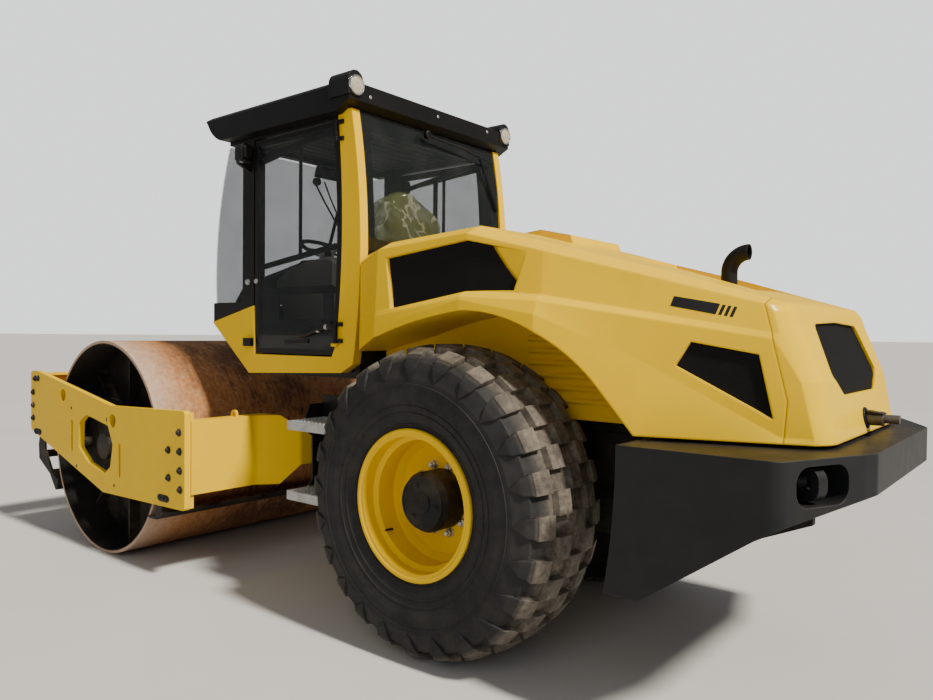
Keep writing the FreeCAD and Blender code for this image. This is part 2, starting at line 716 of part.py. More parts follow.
def hood_latch():
    """Stepped turning handle on the hood's rear face, in the middle."""
    length = LATCH_FRONT - LATCH_END
    body = cylinder(LATCH_FRONT - length * 0.6, 0, LATCH_Z, AXIS_X, LATCH_R, length * 0.6)
    return body.fuse(cylinder(LATCH_END, 0, LATCH_Z, AXIS_X, LATCH_TIP_R, length * 0.5))


# Cab

PANEL_TIP = (2184.0, 1636.0)     # front point of the yellow side frame
PANEL_TOP = (1726.0, 1741.0)     # top corner of its front panel, under the pillar
PILLAR_REAR = DOOR_FRONT + 14
PILLAR_FRONT = 1850.0
GLASS_FOOT = 1765.0


def cab_side():
    """Yellow side frame: rear post, sill and the pointed front panel in one plate."""
    return path_prism("xz", (789, 1391), [
        (888, 1338), (1774, 1306), PANEL_TIP, PANEL_TOP, (1712, 1429), (970, 1429),
        (930, 1509), (886, 2200, 926, CAB_TOP), (812, CAB_TOP), (733, 2120, 789, 1391)],
        CAB_Y - CAB_SIDE_T, CAB_Y)


def cab_floor():
    inner = CAB_Y - CAB_SIDE_T - SEAT_GAP
    floor = box(800, 1800, -inner, inner, CAB_FLOOR_Z - CAB_FLOOR_T, CAB_FLOOR_Z)
    rear_wall = prism("xz", [(800, CAB_FLOOR_Z - 1), (800, 1400), (755, 1780), (748, 2050),
                             (790, 2050), (795, 1780), (840, CAB_FLOOR_Z - 1)], -inner, inner)
    nose = prism("xz", [(1760, 1310), (2170, 1640), (2170, 1700), (2130, 1700), (2130, 1660),
                        (1745, CAB_FLOOR_Z)], -inner, inner)
    return fused([floor, rear_wall, nose])


MOUNT_TOP = RAIL_TOP + 110      # between a mount's bracket and its rubber pad


def cab_mounts():
    mounts = []
    for x in (870.0, 1000.0):
        mount = box(x - 45, x + 45, RAIL_IN, RAIL_OUT, RAIL_TOP + SEAT_GAP, MOUNT_TOP)
        pad = cylinder(x, RAIL_IN + RAIL_T / 2, MOUNT_TOP, AXIS_Z, 55,
                       CAB_FLOOR_Z - CAB_FLOOR_T - MOUNT_TOP - SEAT_GAP)
        mounts.append(mount.fuse(pad))
    return Part.makeCompound(mounts + [mirrored(m) for m in mounts])


def cab_frame():
    """Black posts at the front of the doors and the ring of beams under the roof."""
    y1 = CAB_Y - 4
    y0 = CAB_Y - CAB_SIDE_T - 30
    top = CAB_TOP - SEAT_GAP
    pieces = []
    for sign in (1, -1):
        a, b = sorted((sign * y0, sign * y1))
        pieces.append(box(PILLAR_REAR, PILLAR_FRONT, a, b, GLASS_FOOT - 20, top))
        pieces.append(box(935, 1960, *sorted((sign * (y1 - 60), sign * y1)), top - 45, top))
    pieces.append(box(1935, 1995, -y1, y1, top - 45, top))
    pieces.append(box(935, 995, -y1, y1, top - 45, top))
    return fused(pieces + [rear_header(), nose_trim()])


REAR_FRAME_LINE = ((760.0, 2052.0), (748.0, 2120.0), (775.0, 2560.0), (822.0, CAB_TOP - SEAT_GAP))
REAR_FRAME_T = 40.0


def rear_header():
    """Black corner posts and header that frame the rear window."""
    inner = CAB_Y - CAB_SIDE_T - SEAT_GAP
    inside = [(x + REAR_FRAME_T, z) for x, z in reversed(REAR_FRAME_LINE)]
    outline = prism("xz", list(REAR_FRAME_LINE) + inside, -inner, inner)
    top = CAB_TOP - 105
    opening = prism("yz", [(-inner + 70, 2110), (inner - 70, 2110), (inner - 70, top),
                           (-inner + 70, top)], 600, 1000, 30)
    return outline.cut(opening)


def rear_window():
    """Pane over the whole rear of the cab, outside the black frame."""
    inner = CAB_Y - CAB_SIDE_T - SEAT_GAP
    seat = [(x - SEAT_GAP, z) for x, z in REAR_FRAME_LINE]
    face = [(x - GLASS_T, z) for x, z in reversed(seat)]
    return prism("xz", seat + face, -inner, inner)


def windscreen():
    top = CAB_TOP - 50
    y = CAB_Y - 20
    return path_prism("xz", (2173, GLASS_FOOT), [
        (2140, 2370, 2024, top), (2018, top), (2134, 2370, 2167, GLASS_FOOT),
        (2173, GLASS_FOOT)], -y, y)


def front_glass():
    """Windscreen and the two quarter panes behind its edges."""
    top = CAB_TOP - 50
    y = CAB_Y - 20
    pane = path_prism("xz", (PILLAR_FRONT + SEAT_GAP, GLASS_FOOT), [
        (2160, GLASS_FOOT), (2128, 2370, 2012, top), (PILLAR_FRONT + SEAT_GAP, top),
        (PILLAR_FRONT + SEAT_GAP, GLASS_FOOT)], y - GLASS_T, y)
    return Part.makeCompound([windscreen(), pane, mirrored(pane)])


def nose_trim():
    """Black band between the pointed panels and the windscreen, with the front wall's top."""
    y = CAB_Y - 4
    inner = CAB_Y - CAB_SIDE_T - SEAT_GAP
    top = GLASS_FOOT - SEAT_GAP
    slope = (PANEL_TIP[1] - PANEL_TOP[1]) / (PANEL_TIP[0] - PANEL_TOP[0])
    rise = PANEL_TOP[1] + SEAT_GAP * 1.1
    front = PANEL_TIP[0] - 6
    side = prism("xz", [
        (PILLAR_REAR, rise + slope * (PILLAR_REAR - PANEL_TOP[0])),
        (front, rise + slope * (front - PANEL_TOP[0])), (front, top), (PILLAR_REAR, top)], inner, y)
    wall = box(front - 38, front, -inner, inner, 1700 + SEAT_GAP, top)
    return fused([side, mirrored(side), wall])


def door_outline(shrink):
    """Door edge in the side view, drawn in by a margin all round."""
    s = shrink
    return (978 + s * 0.7, 1438 + s), [
        (DOOR_FRONT - 12 - s, 1438 + s), (DOOR_FRONT - s, 1745),
        (DOOR_FRONT - s, CAB_TOP - 56 - s),
        (936 + s, CAB_TOP - 56 - s), (896 + s, 2200, 940 + s, 1514 + s * 0.2),
        (978 + s * 0.7, 1438 + s)]


def door_frame():
    start, steps = door_outline(0)
    outer = path_prism("xz", start, steps, CAB_Y - 4 - DOOR_T, CAB_Y - 4)
    start, steps = door_outline(DOOR_RAIL)
    inner = path_prism("xz", start, steps, CAB_Y - 100, CAB_Y + 10)
    frame = outer.cut(inner)
    bar = box(955, 1690, CAB_Y - 4 - DOOR_T, CAB_Y - 4, 1800, 1838)
    frame = frame.fuse(bar)
    start, steps = door_outline(DOOR_RAIL - 12)
    rebate = path_prism("xz", start, steps, CAB_Y - 4 - GLASS_T - SEAT_GAP, CAB_Y + 10)
    frame = frame.cut(rebate)
    for low in DOOR_HINGE_Z:
        knuckle = cylinder(DOOR_HINGE_X, DOOR_HINGE_Y, low, AXIS_Z, 13, 60)
        tab = box(DOOR_HINGE_X, DOOR_HINGE_X + 36, CAB_Y + MOVE_GAP, DOOR_HINGE_Y, low, low + 60)
        foot = box(DOOR_HINGE_X + 16, DOOR_HINGE_X + 36, CAB_Y - 8, DOOR_HINGE_Y, low, low + 60)
        arm = knuckle.fuse(tab).fuse(foot)
        arm = arm.cut(cylinder(DOOR_HINGE_X, DOOR_HINGE_Y, low - 5, AXIS_Z, 8 + RUNNING, 70))
        frame = frame.fuse(arm)
    return frame.removeSplitter()


DOOR_HINGE_Z = (1540.0, 2700.0)
CATCH_Z = 1480.0


def door_hinges():
    """Hinge pins on the rear posts and catches on the front panels."""
    pieces = []
    for low in DOOR_HINGE_Z:
        pin = cylinder(DOOR_HINGE_X, DOOR_HINGE_Y, low - 30, AXIS_Z, 8, 120)
        for z in (low - 30, low + 66):
            pad = box(DOOR_HINGE_X - 50, DOOR_HINGE_X, CAB_Y + SEAT_GAP, DOOR_HINGE_Y, z, z + 24)
            eye = cylinder(DOOR_HINGE_X, DOOR_HINGE_Y, z, AXIS_Z, 13, 24)
            pin = pin.fuse(pad).fuse(eye)
        pieces.append(pin)
    front = DOOR_FRONT + MOVE_GAP + 2
    pieces.append(box(front, front + 74, CAB_Y + SEAT_GAP, CAB_Y + 30, CATCH_Z, CATCH_Z + 52))
    return Part.makeCompound(pieces + [mirrored(p) for p in pieces])


def door_glass():
    start, steps = door_outline(DOOR_RAIL - 12 + SEAT_GAP)
    return path_prism("xz", start, steps, CAB_Y - 4 - GLASS_T, CAB_Y - 4)


def cab_roof():
    """Flat roof with side skirts, a curved front brow and notches for the rear lamps."""
    inner = CAB_Y + 4
    section = prism("yz", [
        (-inner, CAB_TOP), (inner, CAB_TOP), (inner + 2, ROOF_SKIRT), (ROOF_HALF + 3, ROOF_SKIRT + 8),
        (ROOF_HALF - 8, ROOF_TOP - 22), (ROOF_HALF - 30, ROOF_TOP), (30 - ROOF_HALF, ROOF_TOP),
        (8 - ROOF_HALF, ROOF_TOP - 22), (-ROOF_HALF - 3, ROOF_SKIRT + 8), (-inner - 2, ROOF_SKIRT)],
        ROOF_REAR - 70, ROOF_FRONT + 100)
    rear_skirt = ROOF_REAR + 128
    front_skirt = ROOF_FRONT - 304
    profile = path_prism("xz", (rear_skirt, ROOF_SKIRT - 5), [
        (front_skirt, ROOF_SKIRT - 5),
        (front_skirt + 170, CAB_TOP + 5, ROOF_FRONT - 34, CAB_TOP + 100),
        (ROOF_FRONT, ROOF_TOP - 14), (ROOF_FRONT - 44, ROOF_TOP), (ROOF_REAR + 40, ROOF_TOP),
        (ROOF_REAR, ROOF_TOP - 20), (ROOF_REAR - 4, CAB_TOP + 35), (rear_skirt, ROOF_SKIRT - 5)],
        -ROOF_HALF - 100, ROOF_HALF + 100)
    notch = rear_lamp_body(SEAT_GAP)
    return section.common(profile).cut(notch).cut(mirrored(notch))


def rear_lamp_body(grow):
    """Housing with a round top, from the roof's rear face forward."""
    half = LAMP_R + grow
    return path_prism("yz", (LAMP_Y - half, LAMP_BASE - grow), [
        (LAMP_Y + half, LAMP_BASE - grow), (LAMP_Y + half, LAMP_ARCH),
        (LAMP_Y, LAMP_ARCH + half, LAMP_Y - half, LAMP_ARCH), (LAMP_Y - half, LAMP_BASE - grow)],
        ROOF_REAR - 6 - grow, ROOF_REAR - 6 + LAMP_LENGTH + grow)


def rear_lamp():
    lens = cylinder(ROOF_REAR - 7, LAMP_Y, LAMP_LENS, AXIS_X, LENS_R, LENS_DEPTH + 1)
    return rear_lamp_body(0).cut(lens)


FRONT_LAMP_Z = CAB_TOP - 177    # foot of the front lamps
FRONT_LAMP_R = 40.0


def front_lamp():
    """Lamp that faces forward, in a strap on the outside of the front post."""
    rear = DOOR_FRONT + MOVE_GAP + 2
    foot = FRONT_LAMP_Z
    arch = foot + 67
    side = CAB_Y - 4 + SEAT_GAP
    y = side + 8 + FRONT_LAMP_R
    r = FRONT_LAMP_R
    body = path_prism("yz", (y - r, foot), [
        (y + r, foot), (y + r, arch), (y, arch + r, y - r, arch), (y - r, foot)], rear + 24, rear + 88)
    back = path_prism("yz", (y - r + 12, foot + 10), [
        (y + r - 12, foot + 10), (y + r - 12, arch), (y, arch + r - 12, y - r + 12, arch),
        (y - r + 12, foot + 10)], rear, rear + 25)
    lens = cylinder(rear + 78, y, foot + 52, AXIS_X, r - 6, 20)
    strap = prism("yz", [
        (side, foot - 70), (y + r + 6, foot - 24), (y + r + 6, foot + 60), (y + r - 1, foot + 60),
        (y + r - 1, foot - 18), (y - r + 1, foot - 18), (y - r + 1, foot + 60), (side, foot + 60)],
        rear + 40, rear + 66)
    return fused([body, back, strap]).cut(lens)


def work_lamps():
    """Four lamps: two in the roof's rear corners and two on the front posts."""
    lamps = [rear_lamp(), front_lamp()]
    return Part.makeCompound(lamps + [mirrored(lamp) for lamp in lamps])


DASH_Y = 170.0              # half-width of the console and of the cowl under the wheel
DASH_REAR = 1640.0
DASH_WALL = 1990.0          # where the cowl meets the wide panel
COWL_TOP = CAB_FLOOR_Z + 735.0
WHEEL_AXIS = vec(-0.42, 0, 0.906)
WHEEL_R = 190.0
WHEEL_TUBE_R = 15.0


def dash():
    """Wide wedge under the windscreen, with the column's cowl and the console behind it."""
    low = GLASS_FOOT + 5
    wedge = prism("yz", [(-560, low), (560, low), (480, low + 130), (0, low + 320), (-480, low + 130)],
                  DASH_WALL, DASH_WALL + 135, [10, 10, 20, 60, 20])
    cowl = prism("xz", [
        (DASH_REAR, low + 80), (DASH_WALL + 10, low + 5), (DASH_WALL + 10, COWL_TOP - 90),
        (DASH_WALL - 90, COWL_TOP), (DASH_REAR + 60, COWL_TOP)], -DASH_Y, DASH_Y, [30, 0, 0, 30, 30])
    console = prism("xz", [
        (DASH_REAR + 40, CAB_FLOOR_Z + SEAT_GAP), (DASH_REAR + 90, CAB_FLOOR_Z + SEAT_GAP),
        (2100, 1720), (2100, low + 10), (DASH_REAR + 40, low + 90)], -DASH_Y + 30, DASH_Y - 30)
    return fused([wedge, cowl, console]).fuse(steering_wheel())


def steering_wheel():
    """Rim of eight-sided section, three spokes, boss and column, made upright and then tilted."""
    r = WHEEL_TUBE_R
    turns = [math.pi / 4 * i for i in range(8)]
    points = [vec(WHEEL_R + r * math.cos(a), 0, r * math.sin(a)) for a in turns]
    section = Part.Face(Part.makePolygon(points + points[:1]))
    pieces = [section.revolve(vec(0, 0, 0), AXIS_Z, 360), cylinder(0, 0, -30, AXIS_Z, 45, 44),
              cylinder(0, 0, -150, AXIS_Z, 28, 125)]
    for turn in (90, 210, 330):
        spoke = Part.makeBox(WHEEL_R - 25, 24, 12, vec(25, -12, -8))
        spoke.rotate(vec(0, 0, 0), AXIS_Z, turn)
        pieces.append(spoke)
    wheel = fused(pieces)
    middle = vec(DASH_REAR + 176, 0, COWL_TOP + 77)
    wheel.Placement = FreeCAD.Placement(middle, FreeCAD.Rotation(AXIS_Z, WHEEL_AXIS))
    return wheel


def seat():
    """Operator's seat on its pedestal."""
    pedestal = box(1050, 1430, -180, 180, CAB_FLOOR_Z + SEAT_GAP, 1640)
    cushion = prism("xz", [(980, 1640), (1500, 1640), (1510, 1740), (1000, 1730)],
                    -260, 260, [30, 40, 40, 20])
    back = prism("xz", [(960, 1650), (1090, 1650), (1010, 2250), (900, 2250)],
                 -240, 240, [30, 30, 50, 50])
    rest = prism("xz", [(905, 2240), (990, 2240), (980, 2370), (900, 2370)],
                 -130, 130, [10, 10, 30, 30])
    arms = []
    for sign in (1, -1):
        y0, y1 = sorted((sign * 240, sign * 310))
        arms.append(box(1000, 1340, y0, y1, 1850, 1910))
    return fused([pedestal, cushion, back, rest] + arms)


# Steps

def steps():
    """Two treads on side brackets, carried from the rail by a back plate."""
    pieces = []
    treads = ((STEP_REAR, 1064.0), (STEP_REAR, 663.0))   # rear x, top z
    for rear, top in treads:
        pieces.append(box(rear, STEP_FRONT, STEP_IN, STEP_OUT, top - STEP_T, top))
    for x in (STEP_REAR, STEP_FRONT - 12):
        pieces.append(prism("yz", [(STEP_IN - 60, 600), (STEP_IN + 90, 611), (STEP_IN + 20, 700),
                                   (STEP_IN + 20, 960), (STEP_IN + 100, 1012), (STEP_IN + 40, 1150),
                                   (STEP_IN - 60, 1150)], x, x + 12))
    pieces.append(box(STEP_REAR, STEP_FRONT, STEP_IN - 72, STEP_IN - 60, 600, 1200))
    pieces.append(box(STEP_REAR + 40, STEP_FRONT - 60, RAIL_OUT + SEAT_GAP, STEP_IN - 60, 700, 1000))
    return fused(pieces)


# Drum frame

def side_plate():
    outline = [
        (SIDE_REAR, 471), (WHEELBASE - 110, 449), (FRONT_END, 790), (FRONT_END, 1240),
        (FRONT_END - 40, 1252), (FRONT_END - 130, 1250), (WHEELBASE - 224, 1056), (SIDE_REAR, 1083)]
    plate = prism("xz", outline, SIDE_IN, SIDE_Y, [20, 60, 40, 20, 10, 30, 60, 20])
    window = prism("xz", [(WHEELBASE + x, z) for x, z in WINDOW], SIDE_IN - 20, SIDE_Y + 20, 25)
    plate = plate.cut(window)
    for x, z in LASH_HOLES:
        plate = plate.cut(cylinder(WHEELBASE + x, SIDE_IN - 20, z, AXIS_Y, LASH_HOLE_R, SIDE_T + 40))
    for x, z, half_x, half_z in SIDE_SLOTS:
        slot = [(x - half_x, z - half_z), (x + half_x, z - half_z), (x + half_x, z + half_z),
                (x - half_x, z + half_z)]
        slot = [(WHEELBASE + a, b) for a, b in slot]
        plate = plate.cut(prism("xz", slot, SIDE_IN - 20, SIDE_Y + 20, min(half_x, half_z) - 1))
    return plate


def rear_beam():
    """Cross beam behind the drum, bent back to the neck that carries the oscillation bearing."""
    def body(grow, length):
        end = SIDE_IN - grow * 0.2
        rear = BEAM_REAR - grow
        neck = NECK_REAR - grow
        plan = prism("xy", [
            (rear, end), (rear, BEAM_BEND_Y), (neck, NECK_Y), (neck, -NECK_Y), (rear, -BEAM_BEND_Y),
            (rear, -end), (rear + length, -end), (rear + length, end)],
            BEAM_BOTTOM - 50, BEAM_TOP + 50, [0, 60, 40, 40, 60, 0, 0, 0])
        low = BEAM_BOTTOM - grow
        high = BEAM_TOP + grow
        shoulder = NECK_Y + 105
        elevation = prism("yz", [
            (end, low), (shoulder, low), (NECK_Y, NECK_BOTTOM - grow), (-NECK_Y, NECK_BOTTOM - grow),
            (-shoulder, low), (-end, low), (-end, high), (-shoulder, high),
            (-NECK_Y, NECK_TOP + grow), (NECK_Y, NECK_TOP + grow), (shoulder, high), (end, high)],
            neck - 10, rear + length + 10)
        return plan.common(elevation)

    beam = body(0, BEAM_DEPTH).cut(body(-BEAM_T, BEAM_DEPTH + 100))
    boss = cylinder(NECK_REAR, 0, PIVOT_Z, AXIS_X, JOURNAL_R + 60, JOURNAL_SEAT)
    rear = SIDE_REAR + 2
    flange = box(rear, rear + FLANGE_LENGTH, SIDE_IN - FLANGE_T, SIDE_IN, FLANGE_LOW, FLANGE_HIGH)
    eye_x = BEAM_REAR + 45
    eye = prism("xz", [(eye_x - 30, BEAM_TOP - 10), (eye_x + 30, BEAM_TOP - 10),
                       (eye_x + 30, BEAM_TOP + 42), (eye_x - 30, BEAM_TOP + 42)],
                LIFT_EYE_Y - 8, LIFT_EYE_Y + 8, [0, 0, 28, 28])
    eye = eye.cut(cylinder(eye_x, LIFT_EYE_Y - 20, BEAM_TOP + 16, AXIS_Y, 13, 40))
    beam = fused([beam, boss, flange, mirrored(flange), eye, mirrored(eye)])
    return beam.cut(cylinder(NECK_REAR - 10, 0, PIVOT_Z, AXIS_X, JOURNAL_R + RUNNING,
                             JOURNAL_SEAT + 30))


def front_beam():
    beam = box(FRONT_END - 30 - FRONT_BEAM_DEPTH, FRONT_END - 30, -SIDE_IN, SIDE_IN,
               FRONT_BEAM_BOTTOM, FRONT_BEAM_TOP)
    hollow = box(FRONT_END - 30 - FRONT_BEAM_DEPTH - 10, FRONT_END - 30 - 20, -SIDE_IN - 5, SIDE_IN + 5,
                 FRONT_BEAM_BOTTOM + 20, FRONT_BEAM_TOP - 20)
    return beam.cut(hollow)


def scraper_edge(side, height):
    """X of a scraper's edge beside the drum, at a height, behind (-1) or ahead (1) of the drum."""
    return WHEELBASE + side * (math.sqrt(DRUM_R ** 2 - (height - DRUM_R) ** 2) + SCRAPER_GAP)


def scrapers():
    """Bars that clean the drum in front and behind, on brackets inside the side plates."""
    half = SIDE_IN - SEAT_GAP
    x = scraper_edge(-1, SCRAPER_REAR_Z)
    z = SCRAPER_REAR_Z
    rear_bar = prism("xz", [(x, z), (x, z + 15), (x - 90, z + SCRAPER_T), (x - 165, z + 60),
                            (x - 180, z + 50), (x - 95, z)], -half, half)
    rear_arm = prism("xz", [(x - 165, z + 30), (x - 85, z + 5), (x - 85, z + 180),
                            (x - 165, z + 180)], half - BRACKET_T, half)
    x = scraper_edge(1, SCRAPER_FRONT_Z)
    z = SCRAPER_FRONT_Z
    front_bar = prism("xz", [(x, z), (x + 12, z - 78), (x + 38, z - 85), (x + 148, z + 40),
                             (x + 136, z + 62), (x + 38, z + 10)], -half, half)
    front_arm = prism("xz", [(x + 120, z + 20), (x + 330, z + 130), (x + 338, z + 240),
                             (x + 300, z + 390), (x + 235, z + 390), (x + 225, z + 210),
                             (x + 110, z + 60)], half - BRACKET_T, half)
    tube = cylinder(x + 290, -half, z + 165, AXIS_Y, 30, 2 * half)
    rear = fused([rear_bar, rear_arm, mirrored(rear_arm)])
    front = fused([front_bar, front_arm, mirrored(front_arm), tube])
    return Part.makeCompound([rear, front])


def drum_shell():
    shell = cylinder(WHEELBASE, -DRUM_HALF, DRUM_R, AXIS_Y, DRUM_R, 2 * DRUM_HALF)
    shell = shell.cut(cylinder(WHEELBASE, -DRUM_HALF - 5, DRUM_R, AXIS_Y, DRUM_R - DRUM_WALL,
                               2 * DRUM_HALF + 10))
    return shell


def drum_discs():
    """End discs with their bearing bosses and radial ribs."""
    r = DRUM_R - DRUM_WALL - SEAT_GAP
    disc = spin([(DRUM_DISC_Y - DRUM_DISC_T, DRUM_SHAFT_R + RUNNING),
                 (DRUM_DISC_Y - DRUM_DISC_T, r), (DRUM_DISC_Y, r),
                 (DRUM_DISC_Y, 150), (DRUM_DISC_Y + 30, 140),
                 (DRUM_DISC_Y + 30, DRUM_SHAFT_R + RUNNING)], WHEELBASE, DRUM_R)
    ribs = []
    for i in range(RIB_COUNT):
        rib = box(RIB_INNER, r - 3, DRUM_DISC_Y - 5, DRUM_DISC_Y + RIB_DEPTH, -RIB_T / 2, RIB_T / 2)
        rib.rotate(vec(0, 0, 0), AXIS_Y, 360.0 * i / RIB_COUNT)
        rib.translate(vec(WHEELBASE, 0, DRUM_R))
        ribs.append(rib)
    return both_sides(fused([disc] + ribs))


def drum_support():
    """Carrier plate on rubber buffers, with the motor and the shaft that carries the drum."""
    pieces = [spin([(DRUM_DISC_Y - 20, 0), (DRUM_DISC_Y - 20, DRUM_SHAFT_R),
                    (DRUM_DISC_Y + 40, DRUM_SHAFT_R), (DRUM_DISC_Y + 40, 165), (CARRIER_Y, 165),
                    (CARRIER_Y, CARRIER_PLATE_R), (CARRIER_Y + 30, CARRIER_PLATE_R),
                    (CARRIER_Y + 30, 90), (CARRIER_Y + 80, 90), (CARRIER_Y + 80, 0)],
                   WHEELBASE, DRUM_R)]
    for x, z in BUFFERS:
        pieces.append(cylinder(WHEELBASE + x, CARRIER_Y + 29, DRUM_R + z, AXIS_Y, BUFFER_R,
                               SIDE_IN - SEAT_GAP - CARRIER_Y - 29))
    return fused(pieces)


# Articulation and steering cylinders

def centre_link():
    gap = SEAT_GAP
    top = PIVOT_Z + EAR_GAP_HALF - gap
    bottom = PIVOT_Z - EAR_GAP_HALF + gap
    block = box(PIVOT_X - LINK_HALF_X, PIVOT_X + LINK_HALF_X, -LINK_HALF_Y, LINK_HALF_Y, bottom, top)
    pin = cylinder(PIVOT_X, 0, PIVOT_Z - EAR_GAP_HALF - EAR_T - 10, AXIS_Z, PIN_R,
                   2 * (EAR_GAP_HALF + EAR_T + 10))
    journal = cylinder(PIVOT_X, 0, PIVOT_Z, AXIS_X, JOURNAL_R, LINK_HALF_X + JOURNAL_LENGTH)
    pieces = [block, pin, journal]
    arm_z = PIVOT_Z - ARM_DROP
    for sign in (1, -1):
        y0, y1 = sorted((0.0, sign * ARM_Y))
        pieces.append(box(PIVOT_X - ARM_R, PIVOT_X + ARM_R, y0, y1, arm_z - ARM_T / 2, arm_z + ARM_T / 2))
        pieces.append(cylinder(PIVOT_X, sign * ARM_Y, arm_z - ARM_T / 2, AXIS_Z, ARM_R, ARM_T))
    shape = fused(pieces)
    for sign in (1, -1):
        shape = shape.cut(cylinder(PIVOT_X, sign * ARM_Y, arm_z - 50, AXIS_Z, CYLINDER_PIN_R + 1, 100))
    return shape


def steer_barrel():
    z = PIVOT_Z + CYLINDER_RISE
    start = vec(BARREL_X, BARREL_Y, z)
    run = (vec(PIVOT_X, ARM_Y, z) - start).normalize()
    tube = Part.makeCylinder(BARREL_R, BARREL_LENGTH, start + run * 30, run)
    eye = cylinder(BARREL_X, BARREL_Y, z - EYE_HALF, AXIS_Z, BARREL_R, 2 * EYE_HALF)
    pin = cylinder(BARREL_X, BARREL_Y, PIVOT_Z - EAR_GAP_HALF - EAR_T, AXIS_Z, CYLINDER_PIN_R,
                   2 * (EAR_GAP_HALF + EAR_T))
    shape = fused([tube, eye, pin])
    bore = Part.makeCylinder(ROD_R + RUNNING, BARREL_LENGTH + 60, start + run * 80, run)
    return shape.cut(bore)


def steer_rod():
    z = PIVOT_Z + CYLINDER_RISE
    start = vec(BARREL_X, BARREL_Y, z)
    end = vec(PIVOT_X, ARM_Y, z)
    run = (end - start).normalize()
    length = (end - start).Length
    rod = Part.makeCylinder(ROD_R, length - 210, start + run * 210, run)
    eye = cylinder(PIVOT_X, ARM_Y, z - EYE_HALF, AXIS_Z, ROD_EYE_R, 2 * EYE_HALF)
    pin = cylinder(PIVOT_X, ARM_Y, z - EYE_HALF - 12, AXIS_Z, CYLINDER_PIN_R, 2 * EYE_HALF + 18)
    return fused([rod, eye, pin])


def build():
    os.makedirs("parts", exist_ok=True)
    handed = (("tyre", tyre), ("rim", rim), ("hub", hub), ("side_plate", side_plate),
              ("cab_side", cab_side), ("door_frame", door_frame), ("door_glass", door_glass),
              ("steer_barrel", steer_barrel), ("steer_rod", steer_rod))
    for name, maker in handed:
        left = maker()
        save(name + "_left", left)
        save(name + "_right", mirrored(left))
    paired = (("drum_supports", drum_support), ("wheelhouses", wheelhouse), ("steps", steps))
    for name, maker in paired:
        save(name, both_sides(maker()))
    single = (("rear_chassis", rear_chassis), ("rear_axle", rear_axle),
              ("rear_ballast", rear_ballast), ("engine_block", engine_block),
              ("hood_front_shell", hood_front_shell), ("hood_tail", hood_tail),
              ("hood_portal", hood_portal), ("hood_grilles", hood_grilles),
              ("exhaust_stack", exhaust_stack), ("hood_latch", hood_latch),
              ("cab_floor", cab_floor), ("cab_mounts", cab_mounts), ("cab_frame", cab_frame),
              ("rear_window", rear_window), ("front_glass", front_glass),
              ("door_hinges", door_hinges), ("cab_roof", cab_roof), ("work_lamps", work_lamps),
              ("dash", dash), ("seat", seat), ("rear_beam", rear_beam),
              ("front_beam", front_beam), ("scrapers", scrapers), ("drum_shell", drum_shell),
              ("drum_discs", drum_discs), ("centre_link", centre_link))
    for name, maker in single:
        save(name, maker())


build()
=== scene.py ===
import itertools
import json
import math

import bmesh
import bpy
from mathutils import Matrix, Vector, noise
from mathutils.bvhtree import BVHTree


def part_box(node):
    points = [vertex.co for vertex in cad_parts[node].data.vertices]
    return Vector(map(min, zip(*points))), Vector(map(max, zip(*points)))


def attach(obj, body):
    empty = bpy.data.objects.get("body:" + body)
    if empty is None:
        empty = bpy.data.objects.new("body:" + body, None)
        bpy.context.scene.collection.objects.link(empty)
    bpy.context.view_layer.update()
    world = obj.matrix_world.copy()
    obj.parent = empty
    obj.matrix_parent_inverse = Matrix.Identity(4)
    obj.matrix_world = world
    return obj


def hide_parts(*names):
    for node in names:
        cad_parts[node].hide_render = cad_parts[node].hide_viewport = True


# Looks of a single-drum road roller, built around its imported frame. Lengths are in metres: X runs
# forward to the drum, Y to the left, Z up, with the origin under the middle of the machine. Places
# that go through at() are in millimetres, with X from the rear axle.

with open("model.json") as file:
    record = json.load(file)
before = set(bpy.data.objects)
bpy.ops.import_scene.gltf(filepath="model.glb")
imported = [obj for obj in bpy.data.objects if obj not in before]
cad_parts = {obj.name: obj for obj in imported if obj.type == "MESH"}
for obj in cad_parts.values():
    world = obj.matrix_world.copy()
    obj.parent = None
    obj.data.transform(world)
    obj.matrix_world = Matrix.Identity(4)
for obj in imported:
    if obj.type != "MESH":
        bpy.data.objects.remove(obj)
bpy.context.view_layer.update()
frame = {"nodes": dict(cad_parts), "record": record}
NODES = frame["nodes"]

# Places that the pieces share
REAR_AXLE_X = (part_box("hub_left")[0].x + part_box("hub_left")[1].x) / 2
DRUM_X = (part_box("drum_shell")[0].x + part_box("drum_shell")[1].x) / 2
AXLE_Z = 0.76               # height of the rear axle
TYRE_Y = 0.775              # middle of a tyre
DRUM_Z = 0.75               # height of the drum's axle
PLATE_FACE = 1125.0         # outer face of the drum frame's side plates, for at()


# Node trees

